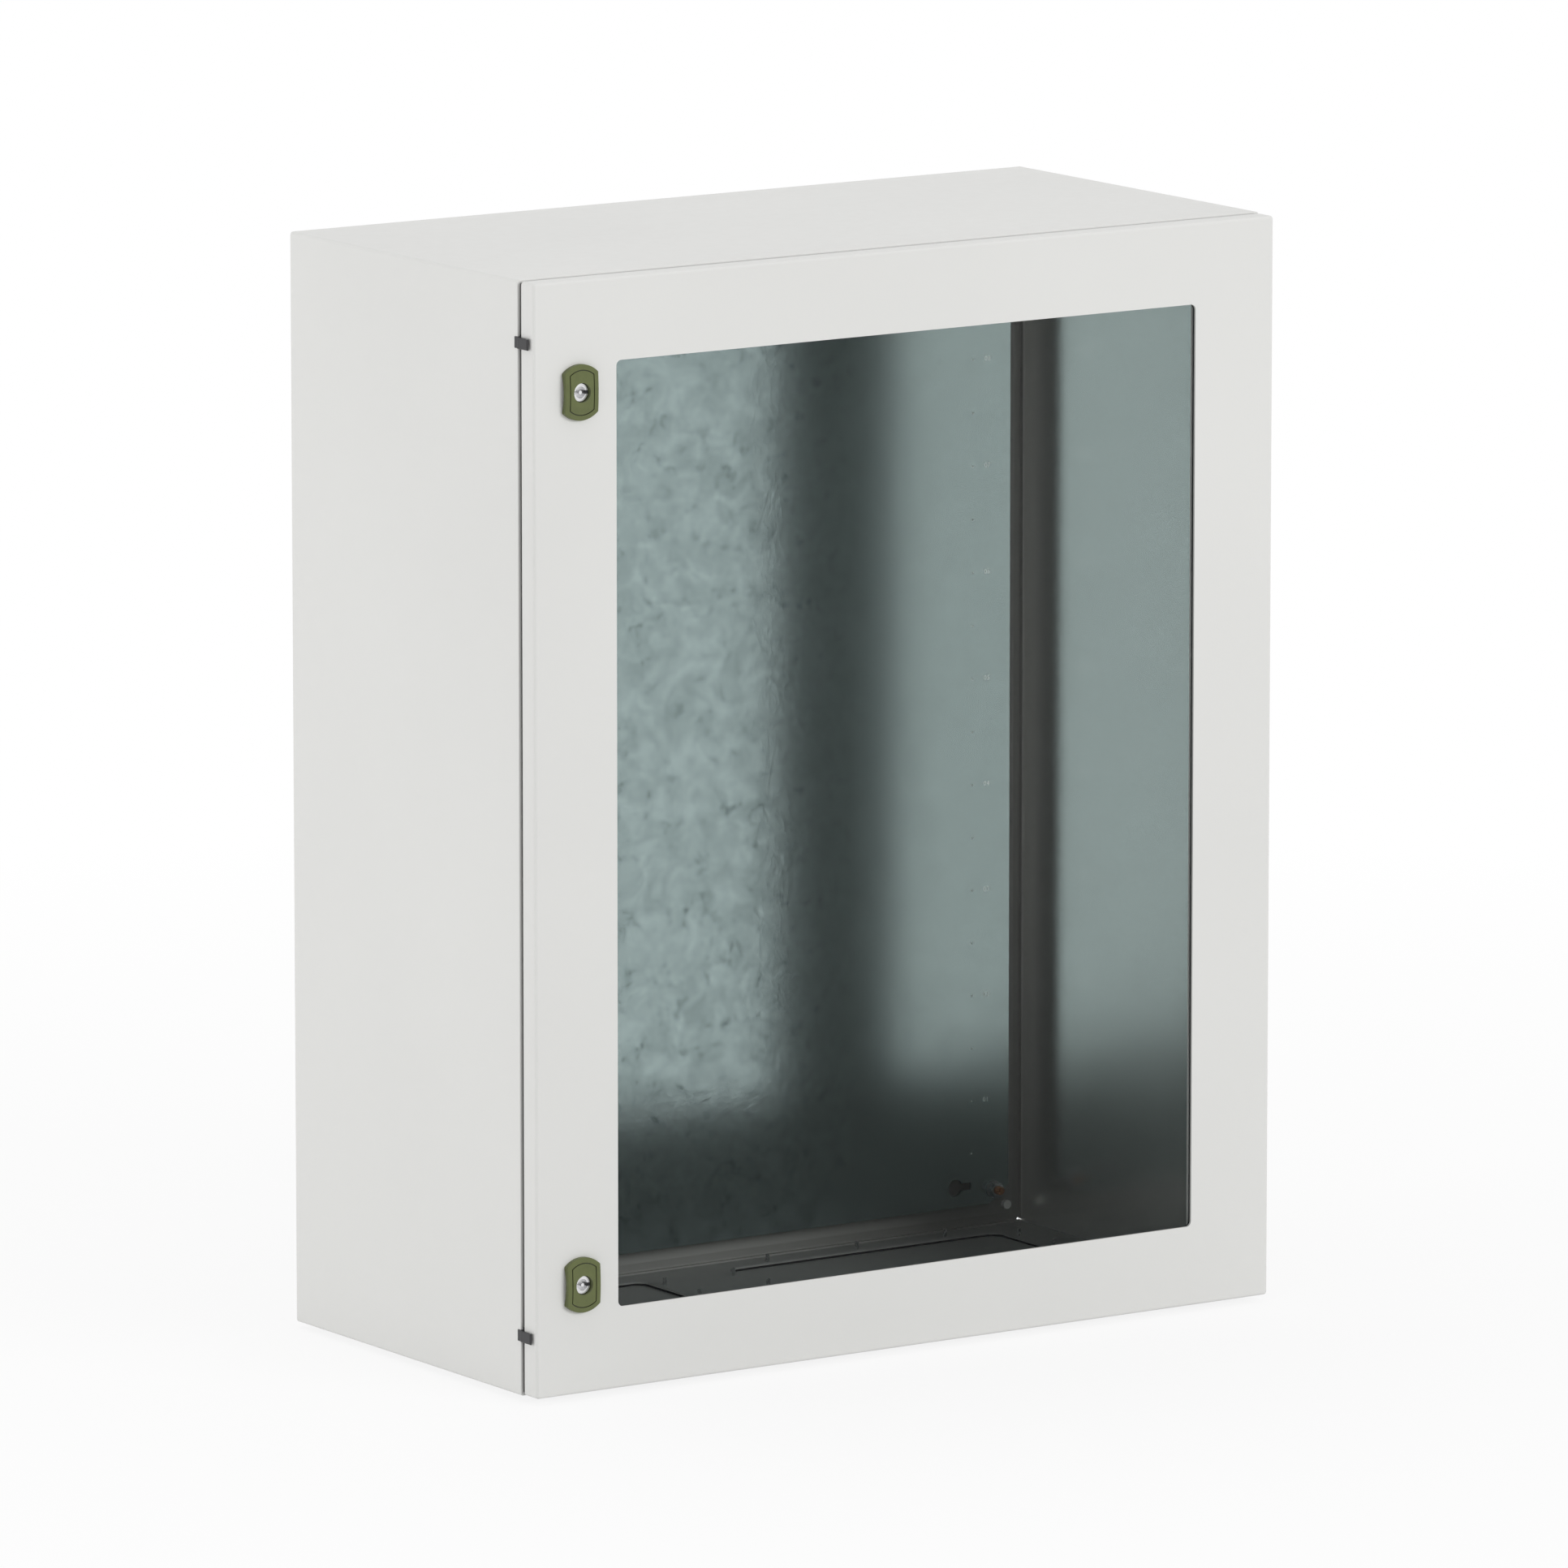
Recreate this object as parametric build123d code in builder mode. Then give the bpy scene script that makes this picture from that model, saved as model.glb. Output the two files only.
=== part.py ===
"""Wall-mounted sheet-steel electrical enclosure with a glazed, lockable door.

Millimetres, +Z up. The door faces -Y, the origin is under the middle of the base.
"""

import os

from build123d import *

# Overall size of the enclosure, door included
width = 800.0
height = 1000.0
depth = 400.0

# Folded body: a hem round the front edge, with a rain gutter between it and the lip of the mouth
body_sheet = 1.5
body_bend_r = 3.0
hem_w = 2.6
hem_fold_r = 1.2
gutter_d = 8.0
flange_w = 24.0
mouth_corner_r = 6.0

# Pressed back panel: an edge turned up along the wrapper, a rim and a raised centre
back_sheet = 1.5
back_edge_h = 6.0
back_rim_w = 1.5
back_slope_w = 7.0
back_raise = 2.6
back_relief_r = 1.6

# Wall fixing holes, in drawn collars that are closed from inside by push-on caps
wall_hole_inset = 20.0
wall_hole_r = 3.3
collar_wall = 0.45
collar_h = 3.4
wall_cap_wall = 0.45
wall_cap_top = 1.6

# Mounting plate and its fixings
plate_side_gap = 30.5
plate_end_gap = 27.5
plate_t = 3.0
plate_standoff = 18.0
plate_corner_cut_w = 20.7
plate_corner_cut_h = 16.0
plate_stud_side_inset = 17.0
plate_stud_end_inset = 13.5
plate_stud_r = 4.0
plate_stud_end = 5.0
plate_spacer_wall = 3.0
plate_washer_r = 8.0
plate_washer_t = 1.6
plate_nut_flats = 13.0
plate_nut_t = 6.5
keyhole_side_inset = 60.0
keyhole_end_inset = 19.0
keyhole_r = 8.0
keyhole_slot_h = 7.0
keyhole_slot_reach = 17.8

# Cable gland openings in the floor, their plates, seals and screws
gland_side_margin = 49.0
gland_d = 226.0
gland_gap = 92.0
gland_back_inset = 32.0
gland_corner_r = 12.0
gland_seal_lap = 18.0
gland_seal_t = 2.0
gland_plate_t = 3.0
gland_screw_inset = 8.0
gland_screw_r = 1.8
gland_screw_head_r = 3.8
gland_screw_head_h = 2.0
gland_screw_end = 7.0
gland_row_count = 3
gland_row_pitch = 100.0
gland_side_count = 4
gland_side_pitch = 58.0

# Door
door_sheet = 2.0
door_inset = 1.0
door_depth = 19.7
door_gap = 4.5
door_corner_r = 3.0
door_fold_r = 2.5
stile_w = 86.5
rail_h = 74.0
window_corner_r = 5.0

# Foamed gasket in the door, closing on the lip of the body's mouth
gasket_w = 10.0
gasket_t = 8.0
gasket_round_r = 3.0
gasket_gap = 0.2

# Glass, its seal and its clamping strips
glass_lap = 10.0
glass_t = 4.0
glass_seal_t = 2.0
strip_sheet = 1.5
strip_grip = 8.8
strip_foot_w = 10.0
strip_side_gap = 1.2
strip_stud_r = 2.0
strip_stud_end = 2.5
strip_nut_flats = 7.0
strip_nut_t = 3.2
strip_stud_margin = 40.0
strip_side_studs = 5
strip_end_studs = 4

# Hinges, concealed between the door's return and the lip
hinge_end = 55.0
hinge_edge = 7.0
hinge_standoff = 8.5
hinge_pin_r = 2.5
hinge_running_clearance = 0.05
hinge_eye_r = 4.2
hinge_arm_w = 6.0
hinge_arm_h = 10.0
hinge_foot_t = 3.0
hinge_foot_w = 17.0
hinge_foot_h = 30.0
hinge_screw_r = 2.5
hinge_screw_head_r = 4.2
hinge_screw_head_t = 2.8
hinge_screw_pitch = 19.0
hinge_ear_t = 3.0
hinge_side_play = 0.3
hinge_leaf_w = 9.0
hinge_leaf_t = 2.0
hinge_leaf_margin = 3.0
hinge_pin_overhang = 1.0
door_slot_play = 0.75
door_slot_floor = 0.5

# Notches in the body's front edge, for a hinge on one side and a blanking plug on the other
notch_w = 11.5
notch_d = 4.2
notch_h = 10.4
notch_clearance = 0.2
plug_proud = 0.8
plug_plate_t = 2.0
plug_plate_l = 16.0
plug_plate_lap = 1.5
plug_tongue_end = 1.0
plug_round_r = 0.9

# Locks
lock_edge = 47.0
lock_end = 100.0
cap_w = 35.0
cap_h = 50.0
cap_bow = 7.3
cap_edge_t = 4.5
cap_mid_t = 6.1
cap_round_r = 1.2
cap_hole_r = 8.7
cap_groove_inset = 4.6
cap_groove_w = 0.9
cap_groove_t = 0.8
cap_arch_l = 32.0
cap_arch_h = 2.8
cap_arch_depth = 3.0
housing_r = 10.0
housing_collar_r = 13.0
housing_collar_t = 1.8
housing_clearance = 0.1
housing_back_wall = 5.0
lock_nut_flats = 24.0
lock_nut_t = 5.0
spindle_r = 7.95
spindle_shaft_r = 5.0
spindle_clearance = 0.05
spindle_recess = 3.5
key_socket_r = 5.2
key_pin_r = 1.6
key_slot_l = 18.0
key_slot_h = 3.2
key_socket_depth = 6.0
cam_square = 7.0
cam_square_play = 0.1
cam_t = 3.0
cam_hub_r = 11.0
cam_w = 16.0
cam_engage = 10.0
cam_gap = 1.5
cam_screw_r = 2.5
cam_screw_l = 8.0
cam_screw_flats = 8.0
cam_screw_head_t = 3.5
cam_washer_r = 7.0
cam_washer_t = 1.2

# Earth studs in the body and in the door
earth_stud_r = 4.0
earth_stud_l = 19.0
earth_washer_r = 8.5
earth_washer_t = 1.6
earth_nut_flats = 13.0
earth_nut_t = 6.5
earth_end = 60.0
body_earth_front = 60.0
door_earth_edge = 49.0

# Places that follow from the driving dimensions
base_z = gland_plate_t + gland_seal_t
mid_z = base_z + height / 2
front_y = -depth / 2
back_y = depth / 2
door_w = width - 2 * door_inset
door_h = height - 2 * door_inset
door_inner_y = front_y + door_sheet
door_back_y = front_y + door_depth
body_front_y = door_back_y + door_gap
inner_w = width - 2 * body_sheet
inner_h = height - 2 * body_sheet
inner_r = body_bend_r - body_sheet
mouth_w = width - 2 * flange_w
mouth_h = height - 2 * flange_w
flange_front_y = body_front_y + gutter_d
flange_back_y = flange_front_y + body_sheet
gasket_back_y = door_inner_y + gasket_t
lip_front_y = gasket_back_y + gasket_gap
back_inner_y = back_y - back_sheet - back_raise
plate_w = width - 2 * plate_side_gap
plate_h = height - 2 * plate_end_gap
plate_back_y = back_inner_y - plate_standoff
plate_front_y = plate_back_y - plate_t
window_w = door_w - 2 * stile_w
window_h = door_h - 2 * rail_h
glass_w = window_w + 2 * glass_lap
glass_h = window_h + 2 * glass_lap
glass_front_y = door_inner_y + glass_seal_t
glass_back_y = glass_front_y + glass_t
hinge_x = door_w / 2 - hinge_edge
hinge_y = door_inner_y + hinge_standoff
lock_x = -(door_w / 2 - lock_edge)
cap_end_r = ((cap_w / 2) ** 2 + cap_bow ** 2) / (2 * cap_bow)
cam_front_y = flange_back_y + cam_gap
cam_back_y = cam_front_y + cam_t
cam_reach = mouth_w / 2 + lock_x + cam_engage
housing_back_y = cam_front_y - notch_clearance
gland_w = width / 2 - gland_side_margin - gland_gap / 2
gland_x = (gland_gap + gland_w) / 2
gland_y = back_y - gland_back_inset - gland_d / 2
levels = {"upper": base_z + height, "lower": base_z}


def end_height(level, inset):
    """Height of a feature that lies inset from the top or the bottom of the body."""
    return levels[level] - inset if level == "upper" else levels[level] + inset


def facing_front(y, x=0.0, z=mid_z):
    """Plane at depth y whose normal points to the front, so an extrusion grows towards the viewer."""
    return Plane(origin=(x, y, z), x_dir=(1, 0, 0), z_dir=(0, -1, 0))


def hexagon(flats):
    """Hexagon given by its width across flats, drawn in the sketch that is open."""
    RegularPolygon(flats / 2, 6, major_radius=False)


def save(part, name):
    """Label a finished piece and write its file."""
    part.label = name
    export_step(part, f"parts/{name}.step")


os.makedirs("parts", exist_ok=True)

# Body: wrapper of sides, top and bottom, with the front hem, the gutter and the lip of the mouth
gland_screw_x = gland_w / 2 + gland_screw_inset
gland_screw_y = gland_d / 2 + gland_screw_inset
gland_screw_places = []
for gland_side in (-1, 1):
    for row in (-1, 1):
        for i in range(gland_row_count):
            along = (i - (gland_row_count - 1) / 2) * gland_row_pitch
            gland_screw_places.append((gland_side * gland_x + along, gland_y + row * gland_screw_y))
        for i in range(gland_side_count):
            along = (i - (gland_side_count - 1) / 2) * gland_side_pitch
            gland_screw_places.append((gland_side * gland_x + row * gland_screw_x, gland_y + along))

hinge_screw_x = hinge_x - hinge_arm_w / 2 - hinge_screw_r - notch_clearance
hinge_screw_places = []
for level in levels:
    for side in (-1, 1):
        hinge_screw_places.append(
            (hinge_screw_x, end_height(level, hinge_end) - mid_z + side * hinge_screw_pitch / 2)
        )

notch_slot_x = width / 2 - (notch_w + hem_w) / 2
with BuildPart() as body_shell:
    with BuildSketch(facing_front(back_y)):
        RectangleRounded(width, height, body_bend_r)
    extrude(amount=back_y - body_front_y)
    fillet(body_shell.faces().sort_by(Axis.Y)[0].edges(), hem_fold_r)
    with BuildSketch(facing_front(back_y)):
        RectangleRounded(inner_w, inner_h, inner_r)
    extrude(amount=back_y - flange_back_y, mode=Mode.SUBTRACT)
    with BuildSketch(facing_front(flange_front_y)):
        RectangleRounded(width - 2 * hem_w, height - 2 * hem_w, inner_r)
    extrude(amount=gutter_d, mode=Mode.SUBTRACT)
    with BuildSketch(facing_front(flange_back_y)):
        RectangleRounded(mouth_w + 2 * body_sheet, mouth_h + 2 * body_sheet, mouth_corner_r + body_sheet)
    extrude(amount=flange_back_y - lip_front_y)
    with BuildSketch(facing_front(flange_back_y)):
        RectangleRounded(mouth_w, mouth_h, mouth_corner_r)
    extrude(amount=flange_back_y - lip_front_y, mode=Mode.SUBTRACT)
    for level in levels:
        notch_z = end_height(level, hinge_end)
        with BuildSketch(facing_front(body_front_y + notch_d, z=notch_z)):
            with Locations((-width / 2, 0), (width / 2, 0)):
                Rectangle(2 * notch_w, notch_h)
        extrude(amount=notch_d, mode=Mode.SUBTRACT)
        with BuildSketch(facing_front(flange_back_y, z=notch_z)):
            with Locations((-notch_slot_x, 0), (notch_slot_x, 0)):
                Rectangle(notch_w - hem_w, notch_h)
        extrude(amount=body_sheet, mode=Mode.SUBTRACT)
    with BuildSketch(facing_front(flange_back_y)):
        with Locations(*hinge_screw_places):
            Circle(hinge_screw_r)
    extrude(amount=body_sheet, mode=Mode.SUBTRACT)
    with BuildSketch(Plane.XY.offset(base_z)):
        with Locations((-gland_x, gland_y), (gland_x, gland_y)):
            RectangleRounded(gland_w, gland_d, gland_corner_r)
        with Locations(*gland_screw_places):
            Circle(gland_screw_r)
    extrude(amount=body_sheet, mode=Mode.SUBTRACT)
save(body_shell.part, "body_shell")

# Back panel: upturned edge, flat rim, mitred slope and raised flat centre, pressed from one sheet
pan_w = inner_w - 2 * back_sheet
pan_h = inner_h - 2 * back_sheet
back_centre_w = pan_w - 2 * (back_rim_w + back_slope_w)
back_centre_h = pan_h - 2 * (back_rim_w + back_slope_w)
wall_hole_dx = width - 2 * wall_hole_inset
wall_hole_dz = height - 2 * wall_hole_inset
collar_r = wall_hole_r + collar_wall

with BuildPart() as back_panel:
    with BuildSketch(facing_front(back_y)):
        RectangleRounded(inner_w, inner_h, inner_r)
    extrude(amount=back_edge_h)
    with BuildSketch(facing_front(back_y - back_sheet)):
        Rectangle(pan_w, pan_h)
    extrude(amount=back_edge_h - back_sheet, mode=Mode.SUBTRACT)
    for rear_y, mode in ((back_y - back_sheet, Mode.ADD), (back_y, Mode.SUBTRACT)):
        with BuildSketch(facing_front(rear_y)):
            Rectangle(back_centre_w + 2 * back_slope_w, back_centre_h + 2 * back_slope_w)
        with BuildSketch(facing_front(rear_y - back_raise)):
            Rectangle(back_centre_w, back_centre_h)
        loft(mode=mode)
    with BuildSketch(facing_front(back_inner_y)):
        with GridLocations(wall_hole_dx, wall_hole_dz, 2, 2):
            Circle(collar_r)
    extrude(amount=collar_h)
    with BuildSketch(facing_front(back_y)):
        with GridLocations(wall_hole_dx, wall_hole_dz, 2, 2):
            Circle(wall_hole_r)
    extrude(amount=back_sheet + back_raise + collar_h, mode=Mode.SUBTRACT)
    with BuildSketch(facing_front(back_y)):
        with GridLocations(pan_w, pan_h, 2, 2):
            Circle(back_relief_r)
    extrude(amount=back_edge_h, mode=Mode.SUBTRACT)
save(back_panel.part, "back_panel")

# Caps over the collars of the wall fixing holes
with BuildPart() as wall_hole_caps:
    with BuildSketch(facing_front(back_inner_y)):
        with GridLocations(wall_hole_dx, wall_hole_dz, 2, 2):
            Circle(collar_r + wall_cap_wall)
    extrude(amount=collar_h + wall_cap_top)
    with BuildSketch(facing_front(back_inner_y)):
        with GridLocations(wall_hole_dx, wall_hole_dz, 2, 2):
            Circle(collar_r)
    extrude(amount=collar_h, mode=Mode.SUBTRACT)
save(wall_hole_caps.part, "wall_hole_caps")

# Mounting plate with cut corners and keyholes
stud_dx = plate_w - 2 * plate_stud_side_inset
stud_dz = plate_h - 2 * plate_stud_end_inset
keyhole_dx = plate_w - 2 * keyhole_side_inset
keyhole_dz = plate_h - 2 * keyhole_end_inset
plate_half_w = plate_w / 2
plate_half_h = plate_h / 2
cut_x = plate_half_w - plate_corner_cut_w
cut_z = plate_half_h - plate_corner_cut_h

with BuildPart() as mounting_plate:
    with BuildSketch(facing_front(plate_back_y)):
        with BuildLine():
            Polyline(
                (plate_half_w, cut_z),
                (cut_x, plate_half_h),
                (-cut_x, plate_half_h),
                (-plate_half_w, cut_z),
                (-plate_half_w, -cut_z),
                (-cut_x, -plate_half_h),
                (cut_x, -plate_half_h),
                (plate_half_w, -cut_z),
                close=True,
            )
        make_face()
        with GridLocations(stud_dx, stud_dz, 2, 2):
            Circle(plate_stud_r, mode=Mode.SUBTRACT)
        with GridLocations(keyhole_dx, keyhole_dz, 2, 2):
            Circle(keyhole_r, mode=Mode.SUBTRACT)
        for side in (-1, 1):
            slot_middle = side * (keyhole_dx / 2 + keyhole_slot_reach / 2)
            with Locations((slot_middle, -keyhole_dz / 2), (slot_middle, keyhole_dz / 2)):
                Rectangle(keyhole_slot_reach, keyhole_slot_h, mode=Mode.SUBTRACT)
    extrude(amount=plate_t)
save(mounting_plate.part, "mounting_plate")


def ring_set(rear_y, outer_r, inner_r, thickness):
    """Four rings on the plate studs, from the depth rear_y forwards."""
    with BuildPart() as rings:
        with BuildSketch(facing_front(rear_y)):
            with GridLocations(stud_dx, stud_dz, 2, 2):
                Circle(outer_r)
                Circle(inner_r, mode=Mode.SUBTRACT)
        extrude(amount=thickness)
    return rings.part


plate_nut_back_y = plate_front_y - plate_washer_t
plate_stud_l = back_inner_y - plate_nut_back_y + plate_nut_t + plate_stud_end
with BuildPart() as plate_studs:
    with BuildSketch(facing_front(back_inner_y)):
        with GridLocations(stud_dx, stud_dz, 2, 2):
            Circle(plate_stud_r)
    extrude(amount=plate_stud_l)
with BuildPart() as plate_nuts:
    with BuildSketch(facing_front(plate_nut_back_y)):
        with GridLocations(stud_dx, stud_dz, 2, 2):
            hexagon(plate_nut_flats)
            Circle(plate_stud_r, mode=Mode.SUBTRACT)
    extrude(amount=plate_nut_t)
save(plate_studs.part, "plate_studs")
save(plate_nuts.part, "plate_nuts")
save(ring_set(back_inner_y, plate_stud_r + plate_spacer_wall, plate_stud_r, plate_standoff), "plate_spacers")
save(ring_set(plate_front_y, plate_washer_r, plate_stud_r, plate_washer_t), "plate_washers")

# Gland plates and seals under the floor
gland_plate_w = gland_w + 2 * gland_seal_lap
gland_plate_d = gland_d + 2 * gland_seal_lap
for gland_side, gland_name in ((-1, "left"), (1, "right")):
    own_screws = [place for place in gland_screw_places if place[0] * gland_side > 0]
    with BuildPart() as gland_plate:
        with BuildSketch():
            with Locations((gland_side * gland_x, gland_y)):
                RectangleRounded(gland_plate_w, gland_plate_d, gland_corner_r)
        extrude(amount=gland_plate_t)
        with Locations(*[(x, y, 0) for x, y in own_screws]):
            Cone(gland_screw_head_r, gland_screw_r, gland_screw_head_h,
                 align=(Align.CENTER, Align.CENTER, Align.MIN), mode=Mode.SUBTRACT)
            Cylinder(gland_screw_r, gland_plate_t,
                     align=(Align.CENTER, Align.CENTER, Align.MIN), mode=Mode.SUBTRACT)
    with BuildPart() as gland_seal:
        with BuildSketch(Plane.XY.offset(gland_plate_t)):
            with Locations((gland_side * gland_x, gland_y)):
                RectangleRounded(gland_plate_w, gland_plate_d, gland_corner_r)
                RectangleRounded(gland_w, gland_d, gland_corner_r, mode=Mode.SUBTRACT)
            with Locations(*own_screws):
                Circle(gland_screw_r, mode=Mode.SUBTRACT)
        extrude(amount=gland_seal_t)
    save(gland_plate.part, f"gland_plate_{gland_name}")
    save(gland_seal.part, f"gland_seal_{gland_name}")

with BuildPart() as gland_screws:
    with Locations(*[(x, y, 0) for x, y in gland_screw_places]):
        Cone(gland_screw_head_r, gland_screw_r, gland_screw_head_h,
             align=(Align.CENTER, Align.CENTER, Align.MIN))
        Cylinder(gland_screw_r, base_z + body_sheet + gland_screw_end,
                 align=(Align.CENTER, Align.CENTER, Align.MIN))
save(gland_screws.part, "gland_screws")

# Hinges: an arm through each right-hand notch, a bracket in the door, and the pin that joins them
eye_half_h = hinge_arm_h / 2
ear_inner = eye_half_h + hinge_side_play
ear_outer = ear_inner + hinge_ear_t
side_inner_x = width / 2 - body_sheet
foot_back_y = flange_back_y + hinge_foot_t
for level in levels:
    hinge_z = end_height(level, hinge_end)
    with BuildPart() as hinge_arm:
        with BuildSketch(Plane.XY.offset(hinge_z - eye_half_h)):
            with Locations((hinge_x, hinge_y)):
                Circle(hinge_eye_r)
            with Locations((hinge_x, (hinge_y + foot_back_y) / 2)):
                Rectangle(hinge_arm_w, foot_back_y - hinge_y)
        extrude(amount=hinge_arm_h)
        with BuildSketch(facing_front(body_front_y + notch_d - notch_clearance, z=hinge_z)):
            with Locations(((hinge_x + width / 2 - notch_clearance) / 2, 0)):
                Rectangle(width / 2 - notch_clearance - hinge_x, hinge_arm_h)
        extrude(amount=notch_d - notch_clearance)
        with BuildSketch(facing_front(foot_back_y, z=hinge_z)):
            with Locations((side_inner_x - notch_clearance - hinge_foot_w / 2, 0)):
                Rectangle(hinge_foot_w, hinge_foot_h)
            for side in (-1, 1):
                with Locations((hinge_screw_x, side * hinge_screw_pitch / 2)):
                    Circle(hinge_screw_r, mode=Mode.SUBTRACT)
        extrude(amount=hinge_foot_t)
        with BuildSketch(Plane.XY.offset(hinge_z - eye_half_h)):
            with Locations((hinge_x, hinge_y)):
                Circle(hinge_pin_r + hinge_running_clearance)
        extrude(amount=hinge_arm_h, mode=Mode.SUBTRACT)
    save(hinge_arm.part, f"hinge_arm_{level}")

    with BuildPart() as hinge_bracket:
        with BuildSketch(facing_front(door_inner_y + hinge_leaf_t, x=hinge_x, z=hinge_z)):
            with Locations((-hinge_leaf_w / 2, 0)):
                Rectangle(hinge_leaf_w, 2 * (ear_outer + hinge_leaf_margin))
        extrude(amount=hinge_leaf_t)
        for low_z in (hinge_z - ear_outer, hinge_z + ear_inner):
            with BuildSketch(Plane.XY.offset(low_z)):
                with Locations((hinge_x, hinge_y)):
                    Circle(hinge_eye_r)
                with Locations((hinge_x, (door_inner_y + hinge_y) / 2)):
                    Rectangle(2 * hinge_eye_r, hinge_y - door_inner_y)
                with Locations((hinge_x, hinge_y)):
                    Circle(hinge_pin_r, mode=Mode.SUBTRACT)
            extrude(amount=hinge_ear_t)
    save(hinge_bracket.part, f"hinge_bracket_{level}")

    with BuildPart() as hinge_pin:
        with BuildSketch(Plane.XY.offset(hinge_z - ear_outer - hinge_pin_overhang)):
            with Locations((hinge_x, hinge_y)):
                Circle(hinge_pin_r)
        extrude(amount=2 * (ear_outer + hinge_pin_overhang))
    save(hinge_pin.part, f"hinge_pin_{level}")

with BuildPart() as hinge_screws:
    with BuildSketch(facing_front(foot_back_y)):
        with Locations(*hinge_screw_places):
            Circle(hinge_screw_r)
    extrude(amount=hinge_foot_t + body_sheet)
    with BuildSketch(facing_front(foot_back_y + hinge_screw_head_t)):
        with Locations(*hinge_screw_places):
            Circle(hinge_screw_head_r)
    extrude(amount=hinge_screw_head_t)
save(hinge_screws.part, "hinge_screws")

# Blanking plugs in the left-hand notches: a block in the notch, a tongue through the slot behind it,
# and a plate that stands off the door's side
plug_block_front_y = door_back_y + notch_clearance
plug_tongue_back_y = flange_back_y + plug_tongue_end
for level in levels:
    plug_z = end_height(level, hinge_end)
    plug_h = notch_h - 2 * notch_clearance
    plug_outer_x = -width / 2 - plug_proud
    with BuildPart() as notch_plug:
        with BuildSketch(Plane.XY.offset(plug_z - plug_h / 2)):
            with Locations((plug_outer_x, body_front_y + notch_d - notch_clearance)):
                Rectangle(
                    plug_proud + notch_w - notch_clearance,
                    body_front_y + notch_d - notch_clearance - plug_block_front_y,
                    align=(Align.MIN, Align.MAX),
                )
            with Locations((-notch_slot_x, plug_tongue_back_y)):
                Rectangle(
                    notch_w - hem_w - 2 * notch_clearance,
                    plug_tongue_back_y - plug_block_front_y,
                    align=(Align.CENTER, Align.MAX),
                )
            with Locations((plug_outer_x, door_back_y + plug_plate_lap)):
                Rectangle(plug_plate_t, plug_plate_l, align=(Align.MAX, Align.MAX))
        extrude(amount=plug_h)
        fillet(notch_plug.faces().sort_by(Axis.X)[0].edges(), plug_round_r)
    save(notch_plug.part, f"notch_plug_{level}")

# Door: a tray with a return all round, the window, lock holes, and slots that let the hinge arms through
lock_places = [(lock_x, end_height(level, lock_end) - mid_z) for level in levels]
with BuildPart() as door_panel:
    with BuildSketch(facing_front(door_back_y)):
        RectangleRounded(door_w, door_h, door_corner_r)
    extrude(amount=door_depth)
    fillet(door_panel.faces().sort_by(Axis.Y)[0].edges(), door_fold_r)
    with BuildSketch(facing_front(door_back_y)):
        RectangleRounded(door_w - 2 * door_sheet, door_h - 2 * door_sheet, door_corner_r - door_sheet)
    extrude(amount=door_depth - door_sheet, mode=Mode.SUBTRACT)
    with BuildSketch(facing_front(door_inner_y)):
        RectangleRounded(window_w, window_h, window_corner_r)
        with Locations(*lock_places):
            Circle(housing_r)
    extrude(amount=door_sheet, mode=Mode.SUBTRACT)
    for level in levels:
        with BuildSketch(facing_front(door_back_y, x=door_w / 2, z=end_height(level, hinge_end))):
            Rectangle(2 * door_sheet, hinge_arm_h + 2 * door_slot_play)
        extrude(amount=door_depth - door_sheet - door_slot_floor, mode=Mode.SUBTRACT)
save(door_panel.part, "door_panel")

# Gasket, centred on the lip of the mouth
with BuildPart() as door_gasket:
    with BuildSketch(facing_front(gasket_back_y)):
        RectangleRounded(mouth_w + body_sheet + gasket_w, mouth_h + body_sheet + gasket_w,
                         mouth_corner_r + (body_sheet + gasket_w) / 2)
        RectangleRounded(mouth_w + body_sheet - gasket_w, mouth_h + body_sheet - gasket_w,
                         mouth_corner_r, mode=Mode.SUBTRACT)
    extrude(amount=gasket_t)
    fillet(door_gasket.faces().sort_by(Axis.Y)[-1].edges(), gasket_round_r)
save(door_gasket.part, "door_gasket")

# Glass and the seal between it and the door's skin
with BuildPart() as window_seal:
    with BuildSketch(facing_front(glass_front_y)):
        RectangleRounded(glass_w, glass_h, window_corner_r)
        RectangleRounded(window_w, window_h, window_corner_r, mode=Mode.SUBTRACT)
    extrude(amount=glass_seal_t)
with BuildPart() as window_glass:
    with BuildSketch(facing_front(glass_back_y)):
        RectangleRounded(glass_w, glass_h, window_corner_r)
    extrude(amount=glass_t)
save(window_seal.part, "window_seal")
save(window_glass.part, "window_glass")

# Clamping strips: a folded foot on the door's skin, a step beside the glass and a leg that grips it
strip_edge_w = glass_w / 2 + strip_side_gap
strip_edge_h = glass_h / 2 + strip_side_gap
strip_stud_dx = glass_w / 2 + strip_side_gap + strip_sheet + strip_foot_w / 2
strip_stud_dz = glass_h / 2 + strip_side_gap + strip_sheet + strip_foot_w / 2
strip_side_l = 2 * (strip_edge_h + strip_sheet + strip_foot_w)
strip_end_l = 2 * (strip_edge_w - strip_side_gap - strip_grip - strip_side_gap)
strip_side_pitch = (strip_side_l - 2 * strip_stud_margin) / (strip_side_studs - 1)
strip_end_pitch = (strip_end_l - 2 * strip_stud_margin) / (strip_end_studs - 1)


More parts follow.
